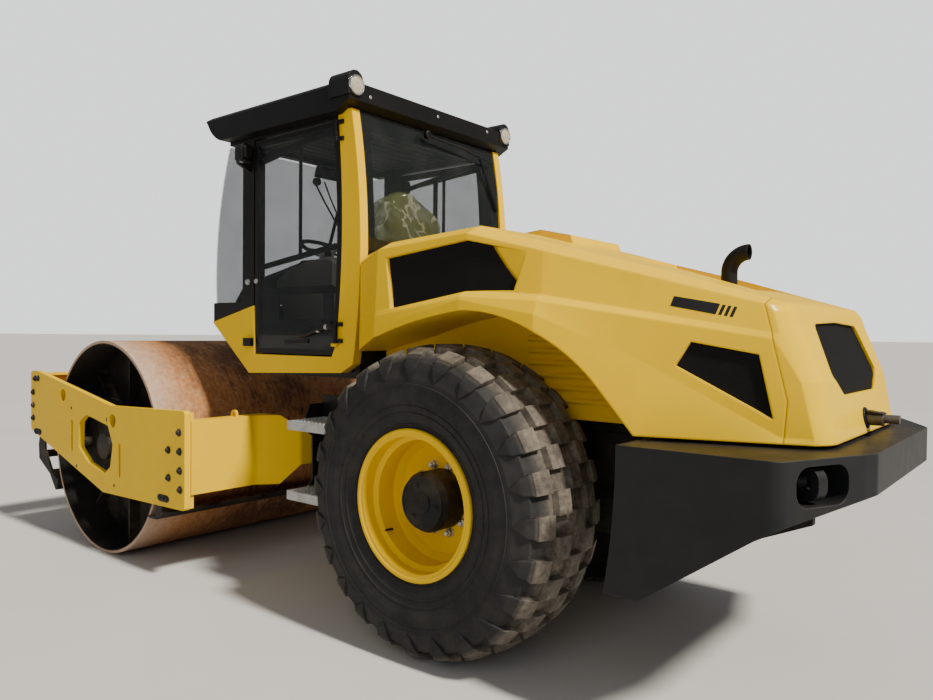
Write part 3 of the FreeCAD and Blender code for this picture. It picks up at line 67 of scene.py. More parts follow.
class Finish:
    """A material under construction: short calls that add and link shader nodes."""

    def __init__(self, name, roughness=0.5, metallic=0.0, coat=0.0, coat_roughness=0.1, specular=0.5):
        self.material = bpy.data.materials.new(name)
        self.material.use_nodes = True
        self.tree = self.material.node_tree
        self.shader = self.tree.nodes["Principled BSDF"]
        self.coords = self.add("ShaderNodeTexCoord").outputs["Object"]
        for socket, value in (("Roughness", roughness), ("Metallic", metallic), ("Coat Weight", coat),
                              ("Coat Roughness", coat_roughness), ("Specular IOR Level", specular)):
            self.shader.inputs[socket].default_value = value

    def add(self, kind, **settings):
        node = self.tree.nodes.new(kind)
        for key, value in settings.items():
            setattr(node, key, value)
        return node

    def put(self, socket, value):
        """Link an output to a socket, or set its plain value."""
        if isinstance(value, bpy.types.NodeSocket):
            self.tree.links.new(value, socket)
        elif isinstance(value, (tuple, list)) and len(value) == 3 and socket.type == "RGBA":
            socket.default_value = (*value, 1.0)
        else:
            socket.default_value = value

    def scaled(self, scale):
        """Object coordinates, stretched along each axis."""
        mapping = self.add("ShaderNodeMapping")
        self.put(mapping.inputs["Vector"], self.coords)
        mapping.inputs["Scale"].default_value = scale
        return mapping.outputs["Vector"]

    def noise(self, scale, detail=4.0, rough=0.55, stretch=None, distortion=0.0):
        node = self.add("ShaderNodeTexNoise")
        self.put(node.inputs["Vector"], self.scaled(stretch) if stretch else self.coords)
        for socket, value in (("Scale", scale), ("Detail", detail), ("Roughness", rough),
                              ("Distortion", distortion)):
            node.inputs[socket].default_value = value
        return node.outputs["Fac"]

    def voronoi(self, scale, stretch=None):
        node = self.add("ShaderNodeTexVoronoi", feature="F1")
        self.put(node.inputs["Vector"], self.scaled(stretch) if stretch else self.coords)
        node.inputs["Scale"].default_value = scale
        return node.outputs["Distance"]

    def ramp(self, source, low, high, start=0.0, end=1.0):
        """Map a value from low..high to start..end, held at both ends."""
        node = self.add("ShaderNodeMapRange")
        self.put(node.inputs["Value"], source)
        for socket, value in (("From Min", low), ("From Max", high), ("To Min", start),
                              ("To Max", end)):
            node.inputs[socket].default_value = value
        return node.outputs["Result"]

    def math(self, operation, a, b=0.0, c=None):
        node = self.add("ShaderNodeMath", operation=operation)
        self.put(node.inputs[0], a)
        self.put(node.inputs[1], b)
        if c is not None:
            self.put(node.inputs[2], c)
        return node.outputs[0]

    def times(self, *values):
        """Product of all the values."""
        result = values[0]
        for value in values[1:]:
            result = self.math("MULTIPLY", result, value)
        return result

    def mix(self, factor, a, b):
        """Colour a where the factor is 0, colour b where it is 1."""
        node = self.add("ShaderNodeMix", data_type="RGBA")
        first, second = (socket for socket in node.inputs if socket.type == "RGBA")
        self.put(node.inputs["Factor"], factor)
        self.put(first, a)
        self.put(second, b)
        return next(socket for socket in node.outputs if socket.type == "RGBA")

    def position(self, axis):
        """One coordinate of the surface point, in metres."""
        split = self.add("ShaderNodeSeparateXYZ")
        self.put(split.inputs[0], self.coords)
        return split.outputs[axis]

    def facing_up(self):
        """1 where the surface faces up, -1 where it faces down."""
        geometry = self.add("ShaderNodeNewGeometry")
        split = self.add("ShaderNodeSeparateXYZ")
        self.put(split.inputs[0], geometry.outputs["Normal"])
        return split.outputs["Z"]

    def rounded(self, radius, samples=4):
        """Normal that rounds the sharp edges of a solid in the light."""
        bevel = self.add("ShaderNodeBevel", samples=samples)
        bevel.inputs["Radius"].default_value = radius
        return bevel.outputs["Normal"]

    def edges(self, rounded_normal):
        """1 at sharp edges, 0 on flat faces."""
        geometry = self.add("ShaderNodeNewGeometry")
        dot = self.add("ShaderNodeVectorMath", operation="DOT_PRODUCT")
        self.put(dot.inputs[0], rounded_normal)
        self.put(dot.inputs[1], geometry.outputs["Normal"])
        return self.ramp(dot.outputs["Value"], 0.995, 0.9)

    def bump(self, height, strength, distance, normal=None):
        """Normal of a surface with this relief, distance in metres."""
        node = self.add("ShaderNodeBump")
        node.inputs["Strength"].default_value = strength
        node.inputs["Distance"].default_value = distance
        self.put(node.inputs["Height"], height)
        if normal is not None:
            self.put(node.inputs["Normal"], normal)
        return node.outputs["Normal"]

    def done(self, colour=None, roughness=None, normal=None):
        """Give the shader what has been built, and return the material."""
        for key, value in (("Base Color", colour), ("Roughness", roughness), ("Normal", normal)):
            if value is not None:
                self.put(self.shader.inputs[key], value)
        return self.material


DUST = (0.27, 0.21, 0.14)
YELLOW = (0.80, 0.51, 0.0)
YELLOW_DEEP = (0.75, 0.45, 0.0)
YELLOW_WORN = (0.33, 0.20, 0.03)
GREY_WORN = (0.25, 0.25, 0.25)


def lighter(colour, share):
    """The same colour, brighter by a share and never quite black."""
    return tuple(share * c + 0.001 for c in colour)


def yellow_paint(name, dirt, edge_radius=0.004):
    """Glossy machine yellow with faint fading, dust low down and in patches, and dulled edges."""
    f = Finish(name, roughness=0.32, coat=0.05, coat_roughness=0.10, specular=0.06)
    rounded = f.rounded(edge_radius)
    paint = f.mix(f.ramp(f.noise(1.3, 5), 0.35, 0.7), YELLOW, YELLOW_DEEP)
    low = f.ramp(f.position("Z"), 1.1, 0.35)
    patches = f.ramp(f.noise(6.0, 8, 0.62), 0.48, 0.72)
    specks = f.ramp(f.noise(55.0, 3, 0.6), 0.60, 0.78)
    film = f.math("ADD", f.times(low, patches, 0.55 * dirt), f.times(specks, patches, 0.30 * dirt))
    worn = f.times(f.edges(rounded), f.ramp(f.noise(14.0, 6), 0.50, 0.66), 0.35 * dirt)
    colour = f.mix(worn, f.mix(film, paint, DUST), YELLOW_WORN)
    uneven = f.math("ADD", f.times(film, 0.45), f.times(f.noise(9.0, 5), 0.14))
    return f.done(colour, f.math("ADD", 0.26, uneven), f.bump(f.noise(210.0, 2), 0.05, 0.001, rounded))


def dark_paint(name, colour, gloss, dirt, edge_radius=0.003):
    """Black or dark grey paint with dust that gathers on upper faces and low down."""
    f = Finish(name, coat=0.12 * gloss, coat_roughness=0.15, specular=0.22)
    rounded = f.rounded(edge_radius)
    low = f.ramp(f.position("Z"), 1.3, 0.2)
    up = f.ramp(f.facing_up(), 0.3, 0.95)
    patches = f.ramp(f.noise(5.0, 9, 0.65), 0.42, 0.75)
    film = f.times(f.math("ADD", f.times(low, 0.5), f.math("ADD", up, 0.15)), patches, dirt)
    paint = f.mix(f.ramp(f.noise(2.2, 4), 0.3, 0.7), colour, lighter(colour, 1.35))
    worn = f.times(f.edges(rounded), f.noise(30.0, 4), 0.25)
    shade = f.mix(worn, f.mix(film, paint, DUST), GREY_WORN)
    uneven = f.math("ADD", f.times(film, 0.3), f.times(f.noise(12.0, 5), 0.12))
    roughness = f.math("ADD", 0.55 - 0.25 * gloss, uneven)
    return f.done(shade, roughness, f.bump(f.noise(260.0, 3), 0.10, 0.001, rounded))


def moulded_plastic(name, colour, roughness):
    """Grained moulded plastic with a breath of dust on upper faces."""
    f = Finish(name, specular=0.25)
    grain = f.voronoi(420.0)
    plain = f.mix(f.ramp(f.noise(3.0, 6), 0.35, 0.7), colour, lighter(colour, 1.4))
    film = f.times(f.ramp(f.facing_up(), 0.4, 1.0), f.ramp(f.noise(2.0, 4), 0.30, 0.80), 0.07)
    rough = f.math("ADD", roughness, f.times(f.noise(18.0, 4), 0.12))
    return f.done(f.mix(film, plain, DUST), rough, f.bump(grain, 0.25, 0.0012, f.rounded(0.004)))


def axle_radius(f, centre_x, centre_z):
    """Distance of a surface point from an axle that runs across the machine."""
    x = f.math("SUBTRACT", f.position("X"), centre_x)
    z = f.math("SUBTRACT", f.position("Z"), centre_z)
    return f.math("SQRT", f.math("ADD", f.times(x, x), f.times(z, z)))


def drum_rust():
    """Bare rolled steel with orange rust, darker wet streaks that carry painted shade across the
    middle, a pale dusty rim and a near-black inside that is painted shade.
    """
    f = Finish("drum_rust", specular=0.35)
    across = f.math("ABSOLUTE", f.position("Y"))
    broad = f.noise(2.4, 9, 0.62)
    fine = f.noise(34.0, 9, 0.66)
    streaks = f.noise(9.0, 7, 0.6, stretch=(1.0, 4.5, 1.0))
    orange = f.mix(f.ramp(fine, 0.36, 0.66), (0.33, 0.125, 0.036), (0.46, 0.230, 0.090))
    brown = f.mix(f.ramp(fine, 0.4, 0.62), (0.085, 0.035, 0.020), (0.20, 0.085, 0.040))
    wet = f.ramp(f.math("ADD", f.times(broad, 0.7), f.times(streaks, 0.4)), 0.50, 0.63)
    # The wet streaks are browner towards the drum's middle: real wet stains, with painted shade where
    # the cab's shadow falls.
    middle = f.ramp(f.ramp(across, 0.95, 0.25), 0.0, 1.0, 0.25, 1.0)
    rust = f.mix(f.times(wet, middle), orange, brown)
    steel = f.times(f.ramp(f.noise(16.0, 10, 0.7), 0.56, 0.68), 0.55)
    rust = f.mix(steel, rust, (0.42, 0.34, 0.27))
    rim = f.times(f.ramp(across, 0.80, 1.05), f.ramp(fine, 0.25, 0.6, 0.35, 0.9))
    rust = f.mix(rim, rust, (0.44, 0.33, 0.25))
    # Painted shade: the inside of the hollow drum is coloured near black.
    inside = f.ramp(axle_radius(f, DRUM_X, DRUM_Z), 0.734, 0.728)
    inside_painted_shade = f.mix(f.ramp(broad, 0.35, 0.75), (0.004, 0.004, 0.005), (0.016, 0.014, 0.012))
    roughness = f.ramp(f.math("ADD", f.times(fine, 0.6), f.times(broad, 0.4)), 0.3, 0.7, 0.55, 0.92)
    height = f.math("ADD", f.times(fine, 0.6), f.times(f.noise(140.0, 5, 0.7), 0.4))
    return f.done(f.mix(inside, rust, inside_painted_shade), roughness, f.bump(height, 0.45, 0.0025, f.rounded(0.003)))


def tyre_rubber(name):
    """Black rubber, with dry earth on the tread and a film of dust on the walls."""
    f = Finish(name, specular=0.25)
    grain = f.noise(45.0, 8, 0.65)
    black = f.mix(f.ramp(f.noise(5.0, 6), 0.3, 0.7), (0.010, 0.010, 0.011), (0.020, 0.020, 0.020))
    earth = f.mix(f.ramp(grain, 0.35, 0.68), (0.095, 0.078, 0.062), (0.20, 0.168, 0.132))
    radius = axle_radius(f, REAR_AXLE_X, AXLE_Z)
    tread = f.times(f.ramp(radius, 0.69, 0.725), f.ramp(f.noise(9.0, 9, 0.65), 0.34, 0.58, 0.35, 0.95))
    cover = f.math("MAXIMUM", tread, f.ramp(f.noise(11.0, 9, 0.65), 0.42, 0.72, 0.0, 0.10))
    shade = f.mix(cover, black, earth)
    roughness = f.ramp(grain, 0.3, 0.7, 0.62, 0.85)
    height = f.math("ADD", f.times(grain, 0.5), f.times(f.noise(260.0, 4), 0.3))
    return f.done(shade, roughness, f.bump(height, 0.3, 0.0015, f.rounded(0.005)))


def tinted_glass(name, tint, alpha):
    """Tinted safety glass that shows the cab's inside."""
    f = Finish(name, roughness=0.03, specular=0.5)
    smear = f.ramp(f.noise(5.0, 6, 0.5), 0.45, 0.8)
    shade = f.mix(f.times(smear, 0.15), tint, (0.12, 0.12, 0.115))
    f.put(f.shader.inputs["Alpha"], f.math("ADD", alpha, f.times(smear, 0.04)))
    return f.done(shade, 0.03)


def woven_mesh(name):
    """Black punched sheet: round holes in offset rows, painted darker than the web between them as
    painted shade behind the openings.
    """
    f = Finish(name, specular=0.15)
    cells = f.voronoi(190.0)
    web = f.ramp(cells, 0.25, 0.45)
    # The holes are painted darker than the web: painted shade behind the openings.
    shade = f.mix(web, (0.0008, 0.0008, 0.0008), (0.0045, 0.0045, 0.005))
    return f.done(shade, 0.75, f.bump(web, 0.15, 0.001))


def metal(name, colour, roughness, polish=0.0):
    """Bare metal with fine scuffs, fewer of them where it is polished."""
    f = Finish(name, metallic=1.0)
    scuff = f.noise(60.0, 6, 0.6, stretch=(1.0, 1.0, 3.0))
    shade = f.mix(f.ramp(scuff, 0.35, 0.7), colour, tuple(c * 0.72 for c in colour))
    rough = f.math("ADD", roughness - 0.05 * polish, f.times(scuff, 0.2 * (1 - polish)))
    return f.done(shade, rough, f.bump(scuff, 0.06, 0.001, f.rounded(0.002)))


def cloth_weave(name, colour):
    """Coarse woven seat cloth."""
    f = Finish(name, specular=0.2)
    threads = f.noise(520.0, 2, stretch=(1.0, 1.0, 0.4))
    shade = f.mix(threads, colour, tuple(1.8 * c for c in colour))
    return f.done(shade, 0.9, f.bump(threads, 0.5, 0.001, f.rounded(0.02)))


def rubber_plain(name):
    """Dull black rubber without dust."""
    f = Finish(name, specular=0.3)
    grain = f.noise(90.0, 5)
    shade = f.mix(grain, (0.012, 0.012, 0.013), (0.035, 0.033, 0.031))
    return f.done(shade, 0.75, f.bump(grain, 0.2, 0.001, f.rounded(0.004)))


STEP_TREADS = (1.039, 0.638)        # heights of the middles of the two steps' edges
STEP_TREAD_HALF = 0.029


def anti_slip_steel():
    """Galvanised tread plate, worn bright on the treads, with dark brackets between them."""
    f = Finish("step_steel", metallic=0.7)
    spangle = f.voronoi(60.0)
    zinc = f.mix(f.ramp(spangle, 0.0, 0.6), (0.32, 0.33, 0.34), (0.50, 0.51, 0.52))
    zinc = f.mix(f.times(f.ramp(f.noise(9.0, 8), 0.45, 0.7), 0.5), zinc, (0.24, 0.20, 0.15))
    height = f.position("Z")
    upper, lower = (f.math("COMPARE", height, middle, STEP_TREAD_HALF) for middle in STEP_TREADS)
    shade = f.mix(f.math("ADD", upper, lower), (0.020, 0.020, 0.021), zinc)
    roughness = f.ramp(spangle, 0.0, 0.6, 0.38, 0.58)
    return f.done(shade, roughness, f.bump(spangle, 0.1, 0.001, f.rounded(0.003)))


SLOT_FINISH = {
    "frame_yellow": yellow_paint("frame_yellow_paint", 0.22),
    "hood_yellow": yellow_paint("hood_yellow_paint", 0.12, 0.012),
    "cab_yellow": yellow_paint("cab_yellow_paint", 0.15, 0.006),
    "anthracite": dark_paint("anthracite_paint", (0.0060, 0.0068, 0.0080), 0.40, 0.08, 0.006),
    "chassis_black": dark_paint("chassis_black_paint", (0.0035, 0.0035, 0.004), 0.15, 0.4),
    "cab_black": dark_paint("cab_black_paint", (0.0015, 0.0015, 0.0018), 0.6, 0.06),
    "roof_black": moulded_plastic("roof_plastic", (0.0025, 0.0025, 0.0028), 0.40),
    "interior": moulded_plastic("interior_plastic", (0.010, 0.010, 0.011), 0.55),
    "seat_cover": cloth_weave("seat_cloth", (0.030, 0.030, 0.032)),
    "glass": tinted_glass("tinted_glass", (0.016, 0.020, 0.020), 0.34),
    "grille": woven_mesh("punched_mesh"),
    "tyre": tyre_rubber("tyre_rubber"),
    "rubber": rubber_plain("mount_rubber"),
    "step_grey": anti_slip_steel(),
    "drum_steel": drum_rust(),
    "drum_black": dark_paint("drum_black_paint", (0.006, 0.006, 0.006), 0.2, 0.5),
    "steel": metal("bright_steel", (0.55, 0.56, 0.57), 0.35),
    "chrome": metal("rod_chrome", (0.80, 0.80, 0.81), 0.12, 1.0),
    "lamp": moulded_plastic("lamp_plastic", (0.006, 0.006, 0.0065), 0.35),
    "engine_grey": metal("engine_iron", (0.10, 0.10, 0.10), 0.6),
}


NODE_FINISH = {
    "hood_latch": metal("latch_zinc", (0.16, 0.15, 0.14), 0.55),
    "exhaust_stack": dark_paint("stack_paint", (0.004, 0.004, 0.0045), 0.1, 0.1),
}


def dress_nodes():
    """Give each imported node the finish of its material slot."""
    for part in frame["record"]["subparts"]:
        mesh = NODES[part["node"]].data
        mesh.materials.clear()
        mesh.materials.append(NODE_FINISH.get(part["node"], SLOT_FINISH[part["material_slot"]]))


# Pieces

def at(x, y, z):
    """A place given in millimetres: X from the rear axle, Y from the middle, Z from the ground."""
    return Vector((REAR_AXLE_X + x / 1000, y / 1000, z / 1000))


def around_axis(axis):
    """Unit axis, with two directions square to it and to each other."""
    axis = Vector(axis).normalized()
    side = axis.orthogonal().normalized()
    return axis, side, axis.cross(side)


def sleeve(rings, count, start=True, end=True):
    """Faces between rings of count points, closed at the start and the end if wanted."""
    faces = []
    for first in range(0, (rings - 1) * count, count):
        for i in range(count):
            j = (i + 1) % count
            faces.append((first + i, first + j, first + count + j, first + count + i))
    if start:
        faces.append(tuple(range(count))[::-1])
    if end:
        faces.append(tuple(range((rings - 1) * count, rings * count)))
    return faces


class Shape:
    """Vertices and faces under construction, in the row frame."""

    def __init__(self):
        self.verts = []
        self.faces = []

    def add(self, verts, faces):
        first = len(self.verts)
        self.verts += [Vector(v) for v in verts]
        self.faces += [tuple(first + i for i in face) for face in faces]

    def prism(self, outline, depth):
        """Solid between a flat outline and the same outline moved by depth."""
        n = len(outline)
        depth = Vector(depth)
        walls = [(i, (i + 1) % n, n + (i + 1) % n, n + i) for i in range(n)]
        self.add(list(outline) + [p + depth for p in outline],
                 [tuple(range(n))[::-1], tuple(range(n, 2 * n))] + walls)

    def turned(self, profile, centre, axis, count=24):
        """Solid of revolution: profile holds (radius, distance along the axis) pairs, end to end."""
        axis, side, other = around_axis(axis)
        verts = []
        for radius, height in profile:
            for i in range(count):
                a = math.tau * i / count
                out = side * math.cos(a) + other * math.sin(a)
                verts.append(centre + axis * height + out * radius)
        self.add(verts, sleeve(len(profile), count))

    def loop(self, profile, centre, axis, count):
        """Ring of revolution whose profile closes on itself."""
        axis, side, other = around_axis(axis)
        n = len(profile)
        verts, faces = [], []
        for i in range(count):
            a = math.tau * i / count
            out = side * math.cos(a) + other * math.sin(a)
            verts += [centre + axis * height + out * radius for radius, height in profile]
            here, there = i * n, (i + 1) % count * n
            faces += [(here + k, here + (k + 1) % n, there + (k + 1) % n, there + k) for k in range(n)]
        self.add(verts, faces)

    def hull(self, points):
        """Convex solid around points."""
        work = bmesh.new()
        for p in points:
            work.verts.new(p)
        made = bmesh.ops.convex_hull(work, input=work.verts)
        inner = [e for e in made["geom_interior"] if isinstance(e, bmesh.types.BMVert)]
        bmesh.ops.delete(work, geom=inner, context="VERTS")
        work.verts.index_update()
        self.add([v.co.copy() for v in work.verts],
                 [tuple(v.index for v in face.verts) for face in work.faces])
        work.free()

    def across(self, outline, ys):
        """Convex solid with an outline of X and Z in millimetres, between two Y."""
        self.hull([at(x, y, z) for x, z in outline for y in ys])

    def tube(self, path, radius, count=10):
        """Round bar along a path of points, closed at both ends."""
        path = [Vector(p) for p in path]
        verts = []
        side = (path[1] - path[0]).orthogonal().normalized()
        for i, p in enumerate(path):
            along = (path[min(i + 1, len(path) - 1)] - path[max(i - 1, 0)]).normalized()
            side = (side - along * side.dot(along)).normalized()
            other = along.cross(side)
            verts += [p + (side * math.cos(a) + other * math.sin(a)) * radius
                      for a in (math.tau * k / count for k in range(count))]
        self.add(verts, sleeve(len(path), count))

    def bar(self, start, end, wide, thick, up=(0, 0, 1)):
        """Flat bar from start to end: wide along up, thick across it."""
        start, end = Vector(start), Vector(end)
        along = (end - start).normalized()
        up = Vector(up)
        up = (up - along * up.dot(along)).normalized() * wide / 2
        across = along.cross(up).normalized() * thick / 2
        corners = [start + up + across, start - up + across, start - up - across, start + up - across]
        self.prism(corners, end - start)

    def head(self, place, axis, across=0.024, height=0.010, washer=0.018):
        """Hexagon bolt head on a washer: across is the size over its flats."""
        corner = across * 0.577
        self.turned([(washer, 0.0), (washer, 0.003), (washer * 0.8, 0.0035)], place, axis, 20)
        self.turned([(corner, 0.003), (corner, height), (across * 0.45, height + 0.0015)],
                    place, axis, 6)


def piece(name, shape, finish, body, bevel=0.0, angle=34.0):
    """Object from a shape, with smooth shading that breaks at its edges, on a body."""
    mesh = bpy.data.meshes.new(name)
    mesh.from_pydata([tuple(v) for v in shape.verts], [], shape.faces)
    work = bmesh.new()
    work.from_mesh(mesh)
    bmesh.ops.recalc_face_normals(work, faces=work.faces)
    work.to_mesh(mesh)
    work.free()
    mesh.materials.append(finish)
    mesh.shade_smooth()
    mesh.set_sharp_from_angle(angle=math.radians(angle))
    obj = bpy.data.objects.new(name, mesh)
    bpy.context.scene.collection.objects.link(obj)
    if bevel:
        edge = obj.modifiers.new("edge", "BEVEL")
        edge.width = bevel
        edge.segments = 2
        edge.limit_method = "ANGLE"
    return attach(obj, body)


STEEL = SLOT_FINISH["steel"]
BLACK = SLOT_FINISH["chassis_black"]
GLOSS = SLOT_FINISH["cab_black"]
TRIM = SLOT_FINISH["lamp"]


WHEEL_FACETS = 96
TREAD_BLOCKS = 24
BLOCK_HALF_ANGLE = math.radians(4.0)
# Section of a shoulder block: radius, distance from the tyre's middle, share of the half angle
BLOCK_SECTION = ((0.7125, 0.249, 0.95), (0.668, 0.281, 0.85), (0.650, 0.286, 0.62),
                 (0.600, 0.2915, 0.10), (0.600, 0.280, 0.10), (0.655, 0.255, 1.0), (0.70, 0.235, 1.0))
# Ridges round a tyre's walls: radius and distance from the tyre's middle, and their section
WALL_RIDGES = ((0.383, 0.2612), (0.436, 0.2764), (0.470, 0.2835), (0.572, 0.2906))
RIDGE_SECTION = ((-0.006, -0.003), (-0.003, 0.0035), (0.003, 0.0042), (0.006, -0.003))
RIM_LIP = ((0.3385, 0.262), (0.3385, 0.2705), (0.344, 0.2765), (0.356, 0.2765), (0.3625, 0.2705),
           (0.3625, 0.262))
NUTS = 10
NUT_CIRCLE = 0.170
DISC_FACE = 0.040           # outer face of the wheel's disc, from the tyre's middle
HUB_FACE = 0.190            # outer face of the hub, from the tyre's middle
HUB_BOLTS = 3
HUB_BOLT_CIRCLE = 0.088


def wheel_places(sign):
    """Middle of one wheel, and a function that gives places on it by angle from the top, radius and
    distance outwards."""
    middle = Vector((REAR_AXLE_X, sign * TYRE_Y, AXLE_Z))

    def place(angle, radius, y):
        return middle + Vector((radius * math.sin(angle), sign * y, radius * math.cos(angle)))

    return middle, place


def tyre_trim(side, sign):
    """Shoulder blocks and wall ridges of one tyre."""
    middle, place = wheel_places(sign)
    blocks, ridges = Shape(), Shape()
    for shoulder in (1, -1):
        for i in range(TREAD_BLOCKS):
            a = math.tau * i / TREAD_BLOCKS
            blocks.hull([place(a + turn * share * BLOCK_HALF_ANGLE, radius, shoulder * y)
                         for radius, y, share in BLOCK_SECTION for turn in (1, -1)])
    for radius, y in WALL_RIDGES:
        for shoulder in (1, -1):
            ridges.loop([(radius + u, shoulder * (y + v)) for u, v in RIDGE_SECTION],
                        middle, (0, sign, 0), WHEEL_FACETS)
    piece("tyre_shoulders_" + side, blocks, SLOT_FINISH["tyre"], "wheel_" + side, 0.003)
    piece("tyre_ridges_" + side, ridges, SLOT_FINISH["tyre"], "wheel_" + side)


def rim_trim(side, sign):
    """Rim lip, wheel nuts, hub plug with its bolts, and valve of one wheel."""
    body = "wheel_" + side
    out = (0, sign, 0)
    middle, place = wheel_places(sign)
    lip = Shape()
    lip.loop(RIM_LIP, middle, out, WHEEL_FACETS)
    piece("rim_lip_" + side, lip, SLOT_FINISH["frame_yellow"], body)

    nuts = Shape()
    for i in range(NUTS):
        foot = place(math.tau * (i + 0.5) / NUTS, NUT_CIRCLE, DISC_FACE)
        nuts.turned([(0.022, 0.0), (0.022, 0.003), (0.019, 0.0045)], foot, out, 24)
        nuts.turned([(0.019, 0.004), (0.019, 0.022), (0.016, 0.0245)], foot, out, 6)
        nuts.turned([(0.011, 0.020), (0.011, 0.036), (0.009, 0.038)], foot, out, 16)
    piece("wheel_nuts_" + side, nuts, STEEL, body)

    cap = Shape()
    cap.loop([(0.118, HUB_FACE), (0.120, HUB_FACE + 0.0065), (0.128, HUB_FACE + 0.0065),
              (0.130, HUB_FACE)], middle, out, 64)
    cap.turned([(0.050, HUB_FACE), (0.050, HUB_FACE + 0.008), (0.044, HUB_FACE + 0.011)],
               middle, out, 32)
    for i in range(HUB_BOLTS):
        cap.head(place(math.tau * i / HUB_BOLTS + 0.4, HUB_BOLT_CIRCLE, HUB_FACE + 0.003), out,
                 0.020, 0.008, 0.014)
    piece("hub_cover_" + side, cap, BLACK, body, 0.001)

    valve = Shape()
    foot = middle + Vector((0.236, sign * 0.150, -0.172))
    valve.tube([foot, foot + Vector((-0.010, sign * 0.025, 0.006)),
                foot + Vector((-0.014, sign * 0.060, 0.008))], 0.006)
    piece("valve_" + side, valve, BLACK, body)


# Features of a side plate, each by its X and Z in millimetres
PLATE_BOLTS = ((1872, 948), (1866, 831), (1863, 713), (1859, 596), (1995, 829), (1992, 655),
               (3985, 1083), (3985, 982), (3985, 882), (3897, 1195), (3950, 1192))
PLATE_SLOTS = ((3908, 780), (2055, 518))
PLATE_PLUGS = ((2689, 516), (3247, 586), (3330, 1003))
PLATE_NOTCHES = ((3323, 802), (2617, 695))


def plate_trim(side, sign):
    """Bolts, slots and toothed notches of one drum-frame side plate, on its outer face."""
    face = sign * PLATE_FACE
    out = (0, sign, 0)
    caps = Shape()
    for x, z in PLATE_BOLTS:
        caps.turned([(0.025, -0.002), (0.025, 0.003), (0.021, 0.006)], at(x, face, z), out, 24)
        caps.turned([(0.0155, 0.003), (0.0155, 0.016), (0.0135, 0.018)], at(x, face, z), out, 6)
    for x, z in PLATE_SLOTS:
        outline = [at(x + 38 * math.cos(a) + math.copysign(34, math.cos(a)), face - sign * 2,
                      z + 24 * math.sin(a))
                   for a in (math.tau * (k + 0.5) / 20 for k in range(20))]
        caps.prism(outline, (0, sign * 0.003, 0))
    for x, z in PLATE_PLUGS:
        caps.turned([(0.011, -0.002), (0.011, 0.0012), (0.009, 0.002)], at(x, face, z), out, 16)
    piece("plate_bolts_" + side, caps, BLACK, "drum_frame", 0.0008)
    small = Shape()
    for x, z in PLATE_SLOTS:
        for step in (-40, 0, 40):
            small.turned([(0.013, 0.0), (0.013, 0.006), (0.010, 0.008)], at(x + step, face, z), out, 6)
    piece("plate_slot_bolts_" + side, small, SLOT_FINISH["step_grey"], "drum_frame")
    notch, teeth = Shape(), Shape()
    notch.bar(at(2795, face, 944), at(2795, face, 972), 0.010, 0.003, (1, 0, 0))
    for x, z in PLATE_NOTCHES:
        notch.hull([at(x + u, sign * y, z + w)
                    for u in (-14, 14) for y in (1088, 1098) for w in (-114, 114)])
        for k in range(-5, 6):
            height = z + 19 * k
            teeth.bar(at(x - 12, sign * 1102, height), at(x + 12, sign * 1102, height), 0.004, 0.010)
    piece("plate_notches_" + side, notch, BLACK, "drum_frame")
    piece("plate_teeth_" + side, teeth, SLOT_FINISH["step_grey"], "drum_frame")


# Work lamps: name, X, Y, Z and radius of the glass's opening, in metres, and the way they look
LAMPS = (("rear_left", 768, 703, 2959, 0.0565, (-1, 0, 0)),
         ("rear_right", 768, -703, 2959, 0.0565, (-1, 0, 0)),
         ("front_left", 1802, 736.3, 2720, 0.034, (1, 0, 0)),
         ("front_right", 1802, -736.3, 2720, 0.034, (1, 0, 0)))


def lamp_trim():
    """Reflector ring and crowned lens in each work lamp."""
    for name, x, y, z, radius, out in LAMPS:
        ring, lens = Shape(), Shape()
        ring.loop([(radius - 0.0005, 0.0), (radius - 0.0005, 0.016), (radius - 0.006, 0.0165),
                   (radius - 0.009, 0.008), (radius - 0.009, 0.0)], at(x, y, z), out, 48)
        piece("lamp_ring_" + name, ring, SLOT_FINISH["chrome"], "rear_frame")
        r = radius - 0.0085
        lens.turned([(r, 0.001), (r, 0.010), (r * 0.86, 0.0135), (r * 0.6, 0.0165), (r * 0.3, 0.018),
                     (r * 0.02, 0.0185)], at(x, y, z), out, 40)
        piece("lamp_lens_" + name, lens, LENS, "rear_frame")


PAD_CELLS = 16              # grid cells along each edge of a pad
PAD_SQUARENESS = 5          # power of the rounding: the higher, the squarer


def cube_grid(n):
    """Points and faces of a cube of half size 1 with n by n cells on each side and shared edges."""
    index, points, faces = {}, [], []
    for axis, s, i, j in itertools.product(range(3), (-1.0, 1.0), range(n), range(n)):
        quad = []
        for a, b in ((i, j), (i + 1, j), (i + 1, j + 1), (i, j + 1)):
            p = [0.0, 0.0, 0.0]
            p[axis] = s
            p[(axis + 1) % 3] = -1 + 2 * a / n
            p[(axis + 2) % 3] = -1 + 2 * b / n
            key = tuple(round(c, 6) for c in p)
            if key not in index:
                index[key] = len(points)
                points.append(Vector(key))
            quad.append(index[key])
        faces.append(tuple(quad))
    return points, faces


